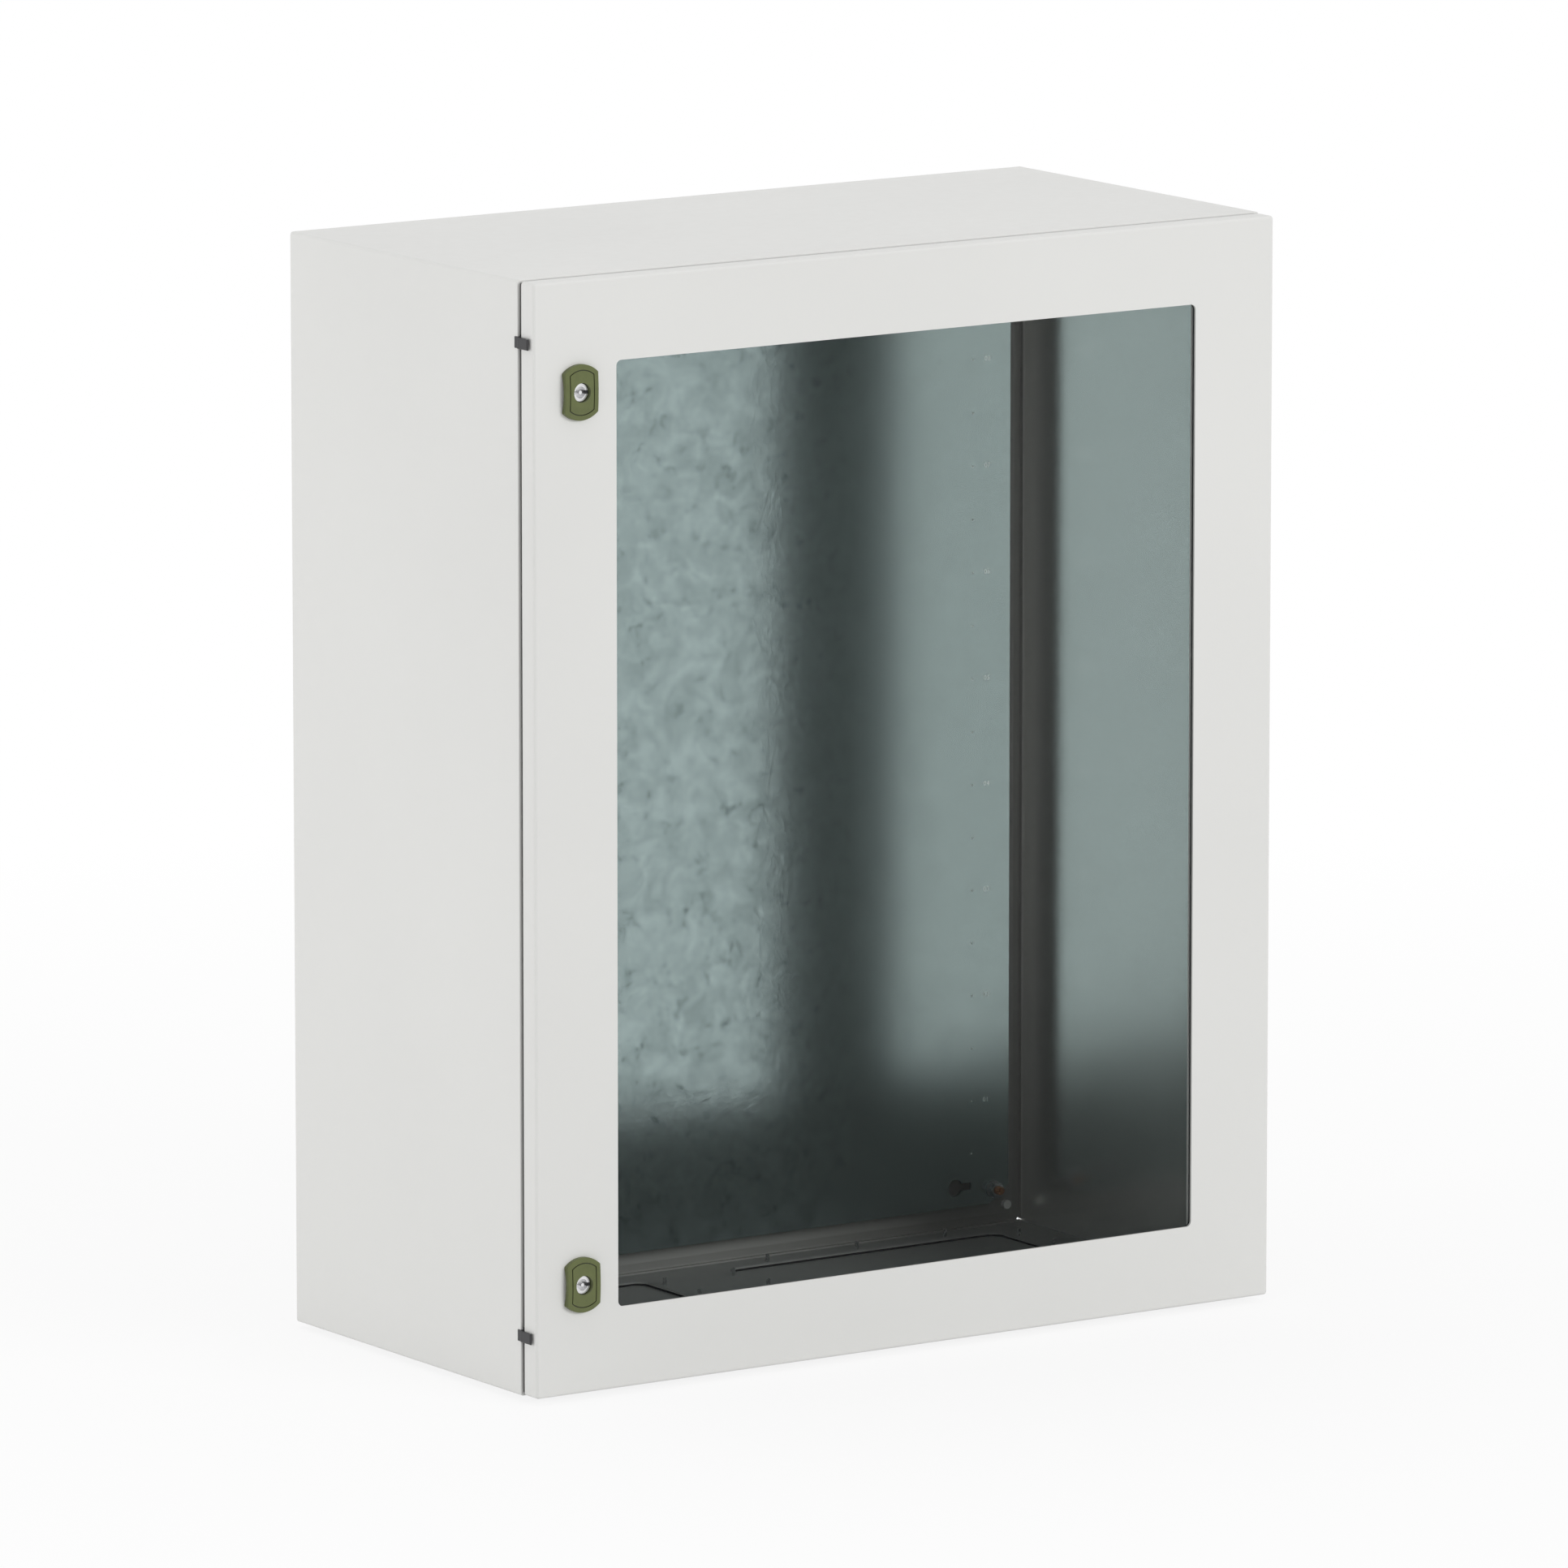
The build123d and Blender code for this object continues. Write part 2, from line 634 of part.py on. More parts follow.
def clamping_strip(plane, length, stud_count, stud_pitch):
    """One strip, drawn as a section on a plane at its start: x away from the glass, y into the enclosure."""
    rise = glass_back_y - door_inner_y
    with BuildPart() as strip:
        with BuildSketch(plane):
            with BuildLine():
                Polyline(
                    (0, 0),
                    (strip_sheet + strip_foot_w, 0),
                    (strip_sheet + strip_foot_w, strip_sheet),
                    (strip_sheet, strip_sheet),
                    (strip_sheet, rise + strip_sheet),
                    (-strip_side_gap - strip_grip, rise + strip_sheet),
                    (-strip_side_gap - strip_grip, rise),
                    (0, rise),
                    close=True,
                )
            make_face()
        extrude(amount=length)
        foot = Plane(
            origin=plane.from_local_coords((strip_sheet + strip_foot_w / 2, 0, length / 2)),
            x_dir=plane.z_dir,
            z_dir=plane.y_dir,
        )
        with BuildSketch(foot):
            with GridLocations(stud_pitch, 0, stud_count, 1):
                Circle(strip_stud_r)
        extrude(amount=strip_sheet, mode=Mode.SUBTRACT)
    return strip.part


for strip_side, strip_name in ((-1, "left"), (1, "right")):
    start_z = mid_z - strip_side * strip_side_l / 2
    side_plane = Plane(
        origin=(strip_side * strip_edge_w, door_inner_y, start_z),
        x_dir=(strip_side, 0, 0),
        z_dir=(0, 0, strip_side),
    )
    save(clamping_strip(side_plane, strip_side_l, strip_side_studs, strip_side_pitch), f"glass_strip_{strip_name}")
for strip_side, strip_name in ((-1, "bottom"), (1, "top")):
    start_x = strip_side * strip_end_l / 2
    end_plane = Plane(
        origin=(start_x, door_inner_y, mid_z + strip_side * strip_edge_h),
        x_dir=(0, 0, strip_side),
        z_dir=(-strip_side, 0, 0),
    )
    save(clamping_strip(end_plane, strip_end_l, strip_end_studs, strip_end_pitch), f"glass_strip_{strip_name}")

strip_nut_front_y = door_inner_y + strip_sheet
with BuildPart() as glass_strip_studs:
    stud_l = strip_sheet + strip_nut_t + strip_stud_end
    with BuildSketch(facing_front(door_inner_y + stud_l)):
        with GridLocations(2 * strip_stud_dx, strip_side_pitch, 2, strip_side_studs):
            Circle(strip_stud_r)
        with GridLocations(strip_end_pitch, 2 * strip_stud_dz, strip_end_studs, 2):
            Circle(strip_stud_r)
    extrude(amount=stud_l)
with BuildPart() as glass_strip_nuts:
    with BuildSketch(facing_front(strip_nut_front_y + strip_nut_t)):
        with GridLocations(2 * strip_stud_dx, strip_side_pitch, 2, strip_side_studs):
            hexagon(strip_nut_flats)
            Circle(strip_stud_r, mode=Mode.SUBTRACT)
        with GridLocations(strip_end_pitch, 2 * strip_stud_dz, strip_end_studs, 2):
            hexagon(strip_nut_flats)
            Circle(strip_stud_r, mode=Mode.SUBTRACT)
    extrude(amount=strip_nut_t)
save(glass_strip_studs.part, "glass_strip_studs")
save(glass_strip_nuts.part, "glass_strip_nuts")


def earth_set(plane, prefix):
    """Earth stud with its washer and nut, standing on a plane."""
    with BuildPart() as stud:
        with BuildSketch(plane):
            Circle(earth_stud_r)
        extrude(amount=earth_stud_l)
    with BuildPart() as washer:
        with BuildSketch(plane):
            Circle(earth_washer_r)
            Circle(earth_stud_r, mode=Mode.SUBTRACT)
        extrude(amount=earth_washer_t)
    with BuildPart() as nut:
        with BuildSketch(plane.offset(earth_washer_t)):
            hexagon(earth_nut_flats)
            Circle(earth_stud_r, mode=Mode.SUBTRACT)
        extrude(amount=earth_nut_t)
    save(stud.part, f"{prefix}_earth_stud")
    save(washer.part, f"{prefix}_earth_washer")
    save(nut.part, f"{prefix}_earth_nut")


body_earth_place = (side_inner_x, front_y + body_earth_front, base_z + earth_end)
door_earth_place = (door_w / 2 - door_earth_edge, door_inner_y, base_z + earth_end)
earth_set(Plane(origin=body_earth_place, x_dir=(0, 1, 0), z_dir=(-1, 0, 0)), "body")
earth_set(Plane(origin=door_earth_place, x_dir=(1, 0, 0), z_dir=(0, 1, 0)), "door")


def cap_outline(z, inset):
    """Outline of the lock cover at height z, inset from its edge: straight sides, bowed ends."""
    half_w = cap_w / 2 - inset
    half_h = cap_h / 2 - inset
    end_r = cap_end_r - inset
    corner_h = half_h - end_r + (end_r ** 2 - half_w ** 2) ** 0.5
    with BuildSketch(facing_front(front_y, lock_x, z)) as outline:
        with BuildLine():
            ThreePointArc((-half_w, corner_h), (0, half_h), (half_w, corner_h))
            Line((half_w, corner_h), (half_w, -corner_h))
            ThreePointArc((half_w, -corner_h), (0, -half_h), (-half_w, -corner_h))
            Line((-half_w, -corner_h), (-half_w, corner_h))
        make_face()
    return outline.sketch


def cap_crown(z, sink):
    """Side view of the crowned lock cover at height z, its front lowered by sink."""
    edge_y = front_y - cap_edge_t + sink
    low_z = z - cap_h / 2
    high_z = z + cap_h / 2
    with BuildSketch(Plane.YZ.offset(lock_x - cap_w)) as crown:
        with BuildLine():
            ThreePointArc((edge_y, low_z), (front_y - cap_mid_t + sink, z), (edge_y, high_z))
            Polyline((edge_y, high_z), (front_y, high_z), (front_y, low_z), (edge_y, low_z))
        make_face()
    return crown.sketch


for level in levels:
    lock_z = end_height(level, lock_end)
    with BuildPart() as cap_groove:
        extrude(cap_outline(lock_z, cap_groove_inset), amount=cap_mid_t)
        extrude(cap_outline(lock_z, cap_groove_inset + cap_groove_w), amount=cap_mid_t, mode=Mode.SUBTRACT)
        extrude(cap_crown(lock_z, cap_groove_t), amount=2 * cap_w, mode=Mode.SUBTRACT)

    with BuildPart() as lock_cap:
        extrude(cap_outline(lock_z, 0), amount=cap_mid_t)
        extrude(cap_crown(lock_z, 0), amount=2 * cap_w, mode=Mode.INTERSECT)
        fillet(lock_cap.faces().filter_by(GeomType.CYLINDER).sort_by(Axis.Y)[0].edges(), cap_round_r)
        add(cap_groove.part, mode=Mode.SUBTRACT)
        with BuildSketch(facing_front(front_y, lock_x, lock_z)):
            Circle(cap_hole_r)
        extrude(amount=cap_mid_t, mode=Mode.SUBTRACT)
        with BuildSketch(facing_front(front_y, lock_x, lock_z)):
            Circle(housing_collar_r + housing_clearance)
        extrude(amount=housing_collar_t, mode=Mode.SUBTRACT)
        for side in (-1, 1):
            with BuildSketch(Plane.YZ.offset(lock_x + side * cap_w / 2 - cap_arch_depth)):
                with BuildLine():
                    ThreePointArc(
                        (front_y, lock_z - cap_arch_l / 2),
                        (front_y - cap_arch_h, lock_z),
                        (front_y, lock_z + cap_arch_l / 2),
                    )
                    Line((front_y, lock_z + cap_arch_l / 2), (front_y, lock_z - cap_arch_l / 2))
                make_face()
            extrude(amount=2 * cap_arch_depth, mode=Mode.SUBTRACT)
    save(lock_cap.part, f"lock_cap_{level}")

    with BuildPart() as lock_housing:
        with BuildSketch(facing_front(front_y, lock_x, lock_z)):
            Circle(housing_collar_r)
        extrude(amount=housing_collar_t)
        with BuildSketch(facing_front(housing_back_y, lock_x, lock_z)):
            Circle(housing_r)
        extrude(amount=housing_back_y - front_y)
        with BuildSketch(facing_front(housing_back_y - housing_back_wall, lock_x, lock_z)):
            Circle(spindle_r + spindle_clearance)
        extrude(amount=housing_back_y - housing_back_wall - front_y + housing_collar_t, mode=Mode.SUBTRACT)
        with BuildSketch(facing_front(housing_back_y, lock_x, lock_z)):
            Circle(spindle_shaft_r + spindle_clearance)
        extrude(amount=housing_back_wall, mode=Mode.SUBTRACT)
    save(lock_housing.part, f"lock_housing_{level}")

    with BuildPart() as lock_nut:
        with BuildSketch(facing_front(door_inner_y + lock_nut_t, lock_x, lock_z)):
            hexagon(lock_nut_flats)
            Circle(housing_r, mode=Mode.SUBTRACT)
        extrude(amount=lock_nut_t)
    save(lock_nut.part, f"lock_nut_{level}")

    spindle_front_y = front_y - cap_mid_t + spindle_recess
    spindle_step_y = housing_back_y - housing_back_wall - notch_clearance
    with BuildPart() as lock_spindle:
        with BuildSketch(facing_front(spindle_step_y, lock_x, lock_z)):
            Circle(spindle_r)
        extrude(amount=spindle_step_y - spindle_front_y)
        with BuildSketch(facing_front(cam_front_y, lock_x, lock_z)):
            Circle(spindle_shaft_r)
        extrude(amount=cam_front_y - spindle_step_y)
        with BuildSketch(facing_front(cam_back_y, lock_x, lock_z)):
            Rectangle(cam_square, cam_square)
        extrude(amount=cam_t)
        with BuildSketch(facing_front(spindle_front_y + key_socket_depth, lock_x, lock_z)):
            Circle(key_socket_r)
            SlotOverall(key_slot_l, key_slot_h)
            Circle(key_pin_r, mode=Mode.SUBTRACT)
        extrude(amount=key_socket_depth, mode=Mode.SUBTRACT)
        with BuildSketch(facing_front(cam_back_y, lock_x, lock_z)):
            Circle(cam_screw_r)
        extrude(amount=cam_screw_l, mode=Mode.SUBTRACT)
    save(lock_spindle.part, f"lock_spindle_{level}")

    with BuildPart() as lock_cam:
        with BuildSketch(facing_front(cam_back_y, lock_x, lock_z)):
            Circle(cam_hub_r)
            with Locations((0, (cam_reach - cam_w / 2) / 2)):
                Rectangle(cam_w, cam_reach - cam_w / 2)
            with Locations((0, cam_reach - cam_w / 2)):
                Circle(cam_w / 2)
            Rectangle(cam_square + cam_square_play, cam_square + cam_square_play, mode=Mode.SUBTRACT)
        extrude(amount=cam_t)
    save(lock_cam.part, f"lock_cam_{level}")

    with BuildPart() as cam_screw:
        with BuildSketch(facing_front(cam_back_y, lock_x, lock_z)):
            Circle(cam_screw_r)
        extrude(amount=cam_screw_l)
        with BuildSketch(facing_front(cam_back_y + cam_washer_t, lock_x, lock_z)):
            Circle(cam_washer_r)
        extrude(amount=cam_washer_t)
        with BuildSketch(facing_front(cam_back_y + cam_washer_t + cam_screw_head_t, lock_x, lock_z)):
            hexagon(cam_screw_flats)
        extrude(amount=cam_screw_head_t)
    save(cam_screw.part, f"lock_cam_screw_{level}")
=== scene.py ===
"""Looks of a wall-mounted sheet-steel enclosure with a glazed door.

Finishes for every packed piece, the scale on the mounting plate, threaded studs, chamfered nuts
and a pale studio. Metres, +Z up. The door faces -Y and hangs on the right.
"""

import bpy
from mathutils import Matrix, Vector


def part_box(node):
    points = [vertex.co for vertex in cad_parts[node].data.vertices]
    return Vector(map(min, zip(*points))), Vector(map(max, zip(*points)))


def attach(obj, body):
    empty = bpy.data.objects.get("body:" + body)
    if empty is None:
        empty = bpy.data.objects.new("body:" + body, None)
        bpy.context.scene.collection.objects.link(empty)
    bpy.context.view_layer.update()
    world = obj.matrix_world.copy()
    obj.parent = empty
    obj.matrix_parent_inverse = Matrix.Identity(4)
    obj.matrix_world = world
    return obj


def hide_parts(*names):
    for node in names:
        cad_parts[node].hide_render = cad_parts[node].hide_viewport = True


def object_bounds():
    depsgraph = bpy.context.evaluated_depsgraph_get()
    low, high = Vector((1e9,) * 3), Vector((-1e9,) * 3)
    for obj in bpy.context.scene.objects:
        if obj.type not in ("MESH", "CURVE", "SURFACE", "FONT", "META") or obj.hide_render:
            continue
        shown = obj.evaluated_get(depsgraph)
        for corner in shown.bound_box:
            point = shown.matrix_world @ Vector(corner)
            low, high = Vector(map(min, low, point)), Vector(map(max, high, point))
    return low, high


bl_info = {
    "name": "Glazed Wall Enclosure",
    "version": (1, 0, 0),
    "blender": (4, 5, 0),
    "location": "3D View > Sidebar > Enclosure",
    "description": "Finishes, plate scale, threads and studio for a glazed wall enclosure",
    "category": "Object",
}

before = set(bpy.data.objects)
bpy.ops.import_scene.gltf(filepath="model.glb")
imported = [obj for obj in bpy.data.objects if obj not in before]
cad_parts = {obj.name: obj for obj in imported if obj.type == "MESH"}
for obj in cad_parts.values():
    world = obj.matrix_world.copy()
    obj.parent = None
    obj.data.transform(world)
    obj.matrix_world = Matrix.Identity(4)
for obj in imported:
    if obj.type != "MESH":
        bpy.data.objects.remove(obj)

import math

import bpy
from bpy.props import FloatProperty, FloatVectorProperty, IntProperty, PointerProperty
from mathutils import Matrix, Vector

CAD_LOW, CAD_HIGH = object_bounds()
MIDDLE = (CAD_LOW + CAD_HIGH) / 2
BODY_LOW, BODY_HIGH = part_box("body_shell")
DOOR_LOW, DOOR_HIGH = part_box("door_panel")
PLATE_LOW, PLATE_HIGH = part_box("mounting_plate")
DOOR_DEPTH = DOOR_HIGH.y - DOOR_LOW.y
LEVELS = ("upper", "lower")

# Shapes
MERGE = 1e-6                       # corners nearer than this are one
SMOOTH_ANGLE = math.radians(35)
BARREL_FACETS = 40
LOCK_BARREL_R = 0.010              # threaded barrel of a lock housing
NUT_CHAMFER = math.radians(30)
NUT_FACE_SHARE = 0.475             # radius of a nut's round face, as a share of its flats
NUT_CLEARANCE = 1.01               # how far the chamfering barrel clears a nut's corners
BARREL_TIP_SHARE = 0.6             # the barrel's own ends, as a share of a nut's round face
DOT_FACETS = 10
DOT_TAPER = 0.6                    # top of a dot, as a share of its foot
NUMERAL_SPACING = 1.15
NUMERAL_FACETS = 4

# Finishes
NOISE_LOW, NOISE_HIGH = 0.3, 0.7   # most of a noise lies between these
PEEL_GRAIN = 0.0014
PEEL_RELIEF = 0.00004
FLAT = 0.5                         # height where a finish has no relief
FLANGE_ZONE = 0.03                 # front of the body's inside that keeps its paint
STEEL_METAL = 0.85
STEEL_ROUGHNESS = (0.22, 0.26)
STEEL_PATCH = 0.05
PLATE_METAL = 0.91
PLATE_RELIEF = 0.00018
PLATE_WAVE = 0.0044
PAINTED_SHADE_REACH = 0.001               # reach of the painted shade in a lock cover's groove
PAINTED_SHADE_OPENNESS = (0.45, 0.9)          # how open the cover is at the groove's bottom, and beside it, for the painted shade
PAINTED_SHADE_SHARE = 0.1                 # painted shade: share of the colour that is left at the bottom
GLASS_IOR = 1.12                   # low, because the window hardly mirrors the studio
GLASS_DRIFT = 1.02
GLASS_RELIEF = 0.00002

# Studio
WHITE = (1.0, 1.0, 1.0, 1.0)
FLOOR_GREY = (0.86, 0.86, 0.86, 1.0)
FLOOR_ROUGHNESS = 0.9
SHADOW_NEAR, SHADOW_FAR = 0.5, 2.5  # where the floor's shadow starts to fade, and where it ends
SHADOW_GLOW = 0.86                  # share of plain white in the floor near the enclosure
HORIZON = 0.1                       # height over which mirrored sky turns into ceiling
LAMPS = (                           # name, place, width, height and the setting with its power
    ("key_lamp", (-4.0, 1.2, 0.85), 2.6, 1.6, "key_power"),
    ("fill_lamp", (2.6, -7.6, 3.2), 4.5, 3.0, "fill_power"),
    ("top_lamp", (0.0, 0.3, 4.2), 3.0, 3.0, "top_power"),
)


def colour(name, description, default):
    """A colour that a user can change, in linear light."""
    return FloatVectorProperty(name=name, description=description, default=default,
                               subtype="COLOR", size=3, min=0.0, max=1.0)


def length(name, description, default):
    """A length that a user can change, in metres."""
    return FloatProperty(name=name, description=description, default=default,
                         min=0.0, unit="LENGTH", precision=5)


def power(name, description, default):
    """A lamp's power that a user can change, in watts."""
    return FloatProperty(name=name, description=description, default=default,
                         min=0.0, unit="POWER")


def angle(name, description, degrees):
    """An angle that a user can change, given here in degrees."""
    return FloatProperty(name=name, description=description, default=math.radians(degrees),
                         subtype="ANGLE", unit="ROTATION")


class EnclosureColours(bpy.types.PropertyGroup):
    """Colours of the enclosure's finishes."""

    paint: colour("Paint", "Light grey powder coat", (0.73, 0.73, 0.712))
    bare_steel: colour("Bare steel", "Inner sides of the body", (0.97, 0.97, 0.955))
    # Painted shade: the inner and back colours are darker than the paint for the dim light inside;
    # the inside is the same grey paint
    inner_painted_shade: colour("Inner painted shade", "Floor and ceiling inside", (0.27, 0.275, 0.27))
    back_painted_shade: colour("Back painted shade", "Inner face of the back panel", (0.31, 0.305, 0.293))
    plate: colour("Mounting plate", "Galvanised mounting plate", (0.405, 0.487, 0.486))
    plate_dark: colour("Plate specks", "Dark specks of the galvanising", (0.21, 0.265, 0.265))
    glass: colour("Glass", "Tint of the window", (0.895, 0.912, 0.908))
    rubber: colour("Rubber", "Window and gland seals", (0.012, 0.012, 0.013))
    foam: colour("Foam", "Foamed door gasket", (0.045, 0.045, 0.047))
    black_plastic: colour("Black plastic", "Blanking plugs and lock housings",
                          (0.028, 0.028, 0.030))
    olive_plastic: colour("Olive plastic", "Lock covers", (0.105, 0.124, 0.038))
    pale_plastic: colour("Pale plastic", "Caps over the wall fixing holes", (0.85, 0.85, 0.83))
    die_cast: colour("Die casting", "Hinge arms, brackets and lock spindles", (0.80, 0.80, 0.81))
    copper: colour("Copper plating", "Weld studs", (0.72, 0.36, 0.20))
    zinc: colour("Zinc plating", "Nuts, washers, screws and cams", (0.73, 0.745, 0.75))
    scale_mark: colour("Scale marks", "Marks stamped into the mounting plate", (0.90, 0.95, 0.94))


class ScaleSettings(bpy.types.PropertyGroup):
    """Scale along the right edge of the mounting plate."""

    dot_inset: length("Dot inset", "Row of dots, in from the plate's right edge", 0.042)
    numeral_inset: length("Numeral inset", "Middle of the numerals, in from the plate's right edge",
                          0.026)
    numeral_size: length("Numeral size", "Font size of the numerals", 0.0062)
    dot_radius: length("Dot radius", "Radius of a dot", 0.0009)
    dot_pitch: length("Dot pitch", "Distance from dot to dot", 0.05)
    rise: length("Rise", "How far the marks stand off the plate", 0.00015)
    dots_per_numeral: IntProperty(name="Dots per numeral", default=2, min=1,
                                  description="Every how many dots a numeral stands")


class ThreadSettings(bpy.types.PropertyGroup):
    """Threads of the weld studs."""

    m8_pitch: length("M8 pitch", "Thread pitch of the plate and earth studs", 0.00125)
    m4_pitch: length("M4 pitch", "Thread pitch of the strip studs", 0.0007)
    depth_share: FloatProperty(name="Depth share", default=0.6, min=0.1, max=0.9,
                               description="Thread depth as a share of the pitch")
    steps: IntProperty(name="Steps", description="Facets in one turn of a thread",
                       default=18, min=6)


class StudioSettings(bpy.types.PropertyGroup):
    """Floor, light and camera."""

    floor_size: length("Floor size", "Side of the square floor", 80.0)
    floor_gap: length("Floor gap", "How far the floor lies under the gland plates", 0.0004)
    sky: FloatProperty(name="Sky", description="Strength of the light from all round",
                       default=0.55, min=0.0)
    ceiling: FloatProperty(name="Ceiling", default=0.06, min=0.0,
                           description="Strength of the high sky in mirrors behind glass")
    key_power: power("Key power", "Lamp at the left", 53.0)
    fill_power: power("Fill power", "Lamp at the front right", 275.0)
    top_power: power("Top power", "Lamp overhead", 33.0)
    camera_place: FloatVectorProperty(name="Camera place", description="Where the camera stands",
                                      default=(-7.0748, -10.5315, 2.7418),
                                      subtype="TRANSLATION", unit="LENGTH")
    camera_turn: angle("Camera turn", "Turn of the camera to the right of +Y", 33.8895)
    camera_tilt: angle("Camera tilt", "How far the camera looks down", 10.0574)
    lens: FloatProperty(name="Lens", description="Focal length on a 36 mm frame",
                        default=325.985, min=1.0, unit="CAMERA")


# Node trees

def put(tree, kind, inputs=None, **settings):
    """Add a node, set its own settings, and set or link its inputs by socket name or number."""
    node = tree.nodes.new(kind)
    for name, value in settings.items():
        setattr(node, name, value)
    for name, value in (inputs or {}).items():
        if isinstance(value, bpy.types.NodeSocket):
            tree.links.new(value, node.inputs[name])
        else:
            node.inputs[name].default_value = value
    return node


def math_node(tree, operation, first, second=0.0, third=0.0, clamp=False):
    """A number worked out from up to three others."""
    return put(tree, "ShaderNodeMath", {0: first, 1: second, 2: third},
               operation=operation, use_clamp=clamp).outputs[0]


def mix_numbers(tree, share, first, second):
    """A number between two others."""
    return put(tree, "ShaderNodeMix", {0: share, 2: first, 3: second},
               data_type="FLOAT").outputs[0]


def mix_colours(tree, share, first, second):
    """A colour between two others."""
    return put(tree, "ShaderNodeMix", {0: share, 6: first, 7: second}, data_type="RGBA").outputs[2]


def shade(tree, base, tone):
    """A colour made darker or lighter by a number."""
    return put(tree, "ShaderNodeVectorMath", {0: base, "Scale": tone},
               operation="SCALE").outputs[0]


def remap(tree, value, low, high, to_low, to_high):
    """A number moved from one range to another, and held inside it."""
    return put(tree, "ShaderNodeMapRange", {"Value": value, "From Min": low, "From Max": high,
                                            "To Min": to_low, "To Max": to_high}).outputs[0]


def spread(tree, grain, low, high):
    """A noise spread from one number to another."""
    return remap(tree, grain, NOISE_LOW, NOISE_HIGH, low, high)


def noise(tree, place, size, detail=2.0, rough=0.5, warp=0.0):
    """Soft noise whose features are about as large as size, in metres."""
    linked = isinstance(size, bpy.types.NodeSocket)
    scale = math_node(tree, "DIVIDE", 1.0, size) if linked else 1.0 / size
    return put(tree, "ShaderNodeTexNoise", {"Vector": place, "Scale": scale, "Detail": detail,
                                            "Roughness": rough, "Distortion": warp}).outputs["Fac"]


def opaque(values):
    """A colour with full alpha, as node sockets take it."""
    return (*values, 1.0)


SOCKET_KINDS = {"colour": "NodeSocketColor", "number": "NodeSocketFloat"}


def start_group(name, inputs, outputs):
    """An empty node group with named sockets: its tree, its inputs by name and its output node."""
    tree = bpy.data.node_groups.new(name, "ShaderNodeTree")
    for socket_name, kind, default in inputs:
        socket = tree.interface.new_socket(socket_name, in_out="INPUT",
                                           socket_type=SOCKET_KINDS[kind])
        socket.default_value = default
    for socket_name, kind in outputs:
        tree.interface.new_socket(socket_name, in_out="OUTPUT", socket_type=SOCKET_KINDS[kind])
    entry = tree.nodes.new("NodeGroupInput").outputs
    return tree, entry, tree.nodes.new("NodeGroupOutput")


def object_place(tree):
    """Object coordinates, which are metres in the part's own frame."""
    return put(tree, "ShaderNodeTexCoord").outputs["Object"]


FINISH_OUTPUTS = (("Colour", "colour"), ("Roughness", "number"), ("Height", "number"))


def finish_group(name, build, inputs):
    """A group that puts out colour, roughness and height, built once and then reused."""
    if name in bpy.data.node_groups:
        return bpy.data.node_groups[name]
    tree, entry, leave = start_group(name, inputs, FINISH_OUTPUTS)
    for (socket_name, _), socket in zip(FINISH_OUTPUTS, build(tree, entry)):
        tree.links.new(socket, leave.inputs[socket_name])
    return tree


def build_orange_peel(tree, entry):
    """Powder coat: fine orange peel, with a faint drift of tone and gloss over the sheet."""
    place = object_place(tree)
    tone = spread(tree, noise(tree, place, size=0.35, detail=3.0), 0.985, 1.012)
    rough = spread(tree, noise(tree, place, size=0.012, detail=3.0), 0.40, 0.47)
    height = noise(tree, place, entry["Grain"], detail=1.5)
    return shade(tree, entry["Colour"], tone), rough, height


def orange_peel():
    """The powder coat's group."""
    return finish_group("Orange Peel", build_orange_peel,
                        (("Colour", "colour", (0.7, 0.7, 0.7, 1.0)),
                         ("Grain", "number", PEEL_GRAIN)))


def build_spangle(tree, entry):
    """Galvanising: soft clouds, small dark specks, and a calm zone towards one side."""
    place = object_place(tree)
    across = put(tree, "ShaderNodeSeparateXYZ", {0: place}).outputs["X"]
    calm = remap(tree, across, entry["Calm From"], entry["Calm To"], 1.0, 0.06)
    clouds = noise(tree, place, entry["Cloud"], detail=5.0, rough=0.6, warp=0.5)
    specks = noise(tree, place, entry["Speck"], detail=2.5, rough=0.55, warp=0.4)
    cloud_share = remap(tree, clouds, 0.34, 0.70, 0.0, 0.55)
    speck_share = remap(tree, specks, 0.58, 0.82, 0.0, 0.8)
    thick = remap(tree, clouds, 0.40, 0.58, 0.0, 1.0)
    dark = math_node(tree, "MULTIPLY_ADD", speck_share, thick, cloud_share, clamp=True)
    tinted = mix_colours(tree, math_node(tree, "MULTIPLY", dark, calm),
                         entry["Colour"], entry["Dark"])
    rough = spread(tree, clouds, 0.165, 0.215)
    pitted = math_node(tree, "MULTIPLY_ADD", specks, -0.35, clouds)
    height = math_node(tree, "MULTIPLY", pitted, calm)
    # The sheet isn't quite flat: one slow wave from side to side
    from_start = math_node(tree, "SUBTRACT", across, entry["Wave Place"])
    per_metre = math_node(tree, "DIVIDE", 2 * math.pi, entry["Wave Length"])
    wave = math_node(tree, "SINE", math_node(tree, "MULTIPLY", from_start, per_metre))
    height = math_node(tree, "MULTIPLY_ADD", wave, entry["Wave Height"], height)
    return tinted, rough, height


def spangle():
    """The galvanised plate's group."""
    return finish_group("Spangle", build_spangle,
                        (("Colour", "colour", (0.7, 0.8, 0.8, 1.0)),
                         ("Dark", "colour", (0.5, 0.6, 0.6, 1.0)),
                         ("Cloud", "number", 0.03), ("Speck", "number", 0.012),
                         ("Calm From", "number", 0.1), ("Calm To", "number", 0.2),
                         ("Wave Place", "number", 0.0), ("Wave Length", "number", 0.7),
                         ("Wave Height", "number", 0.0)))


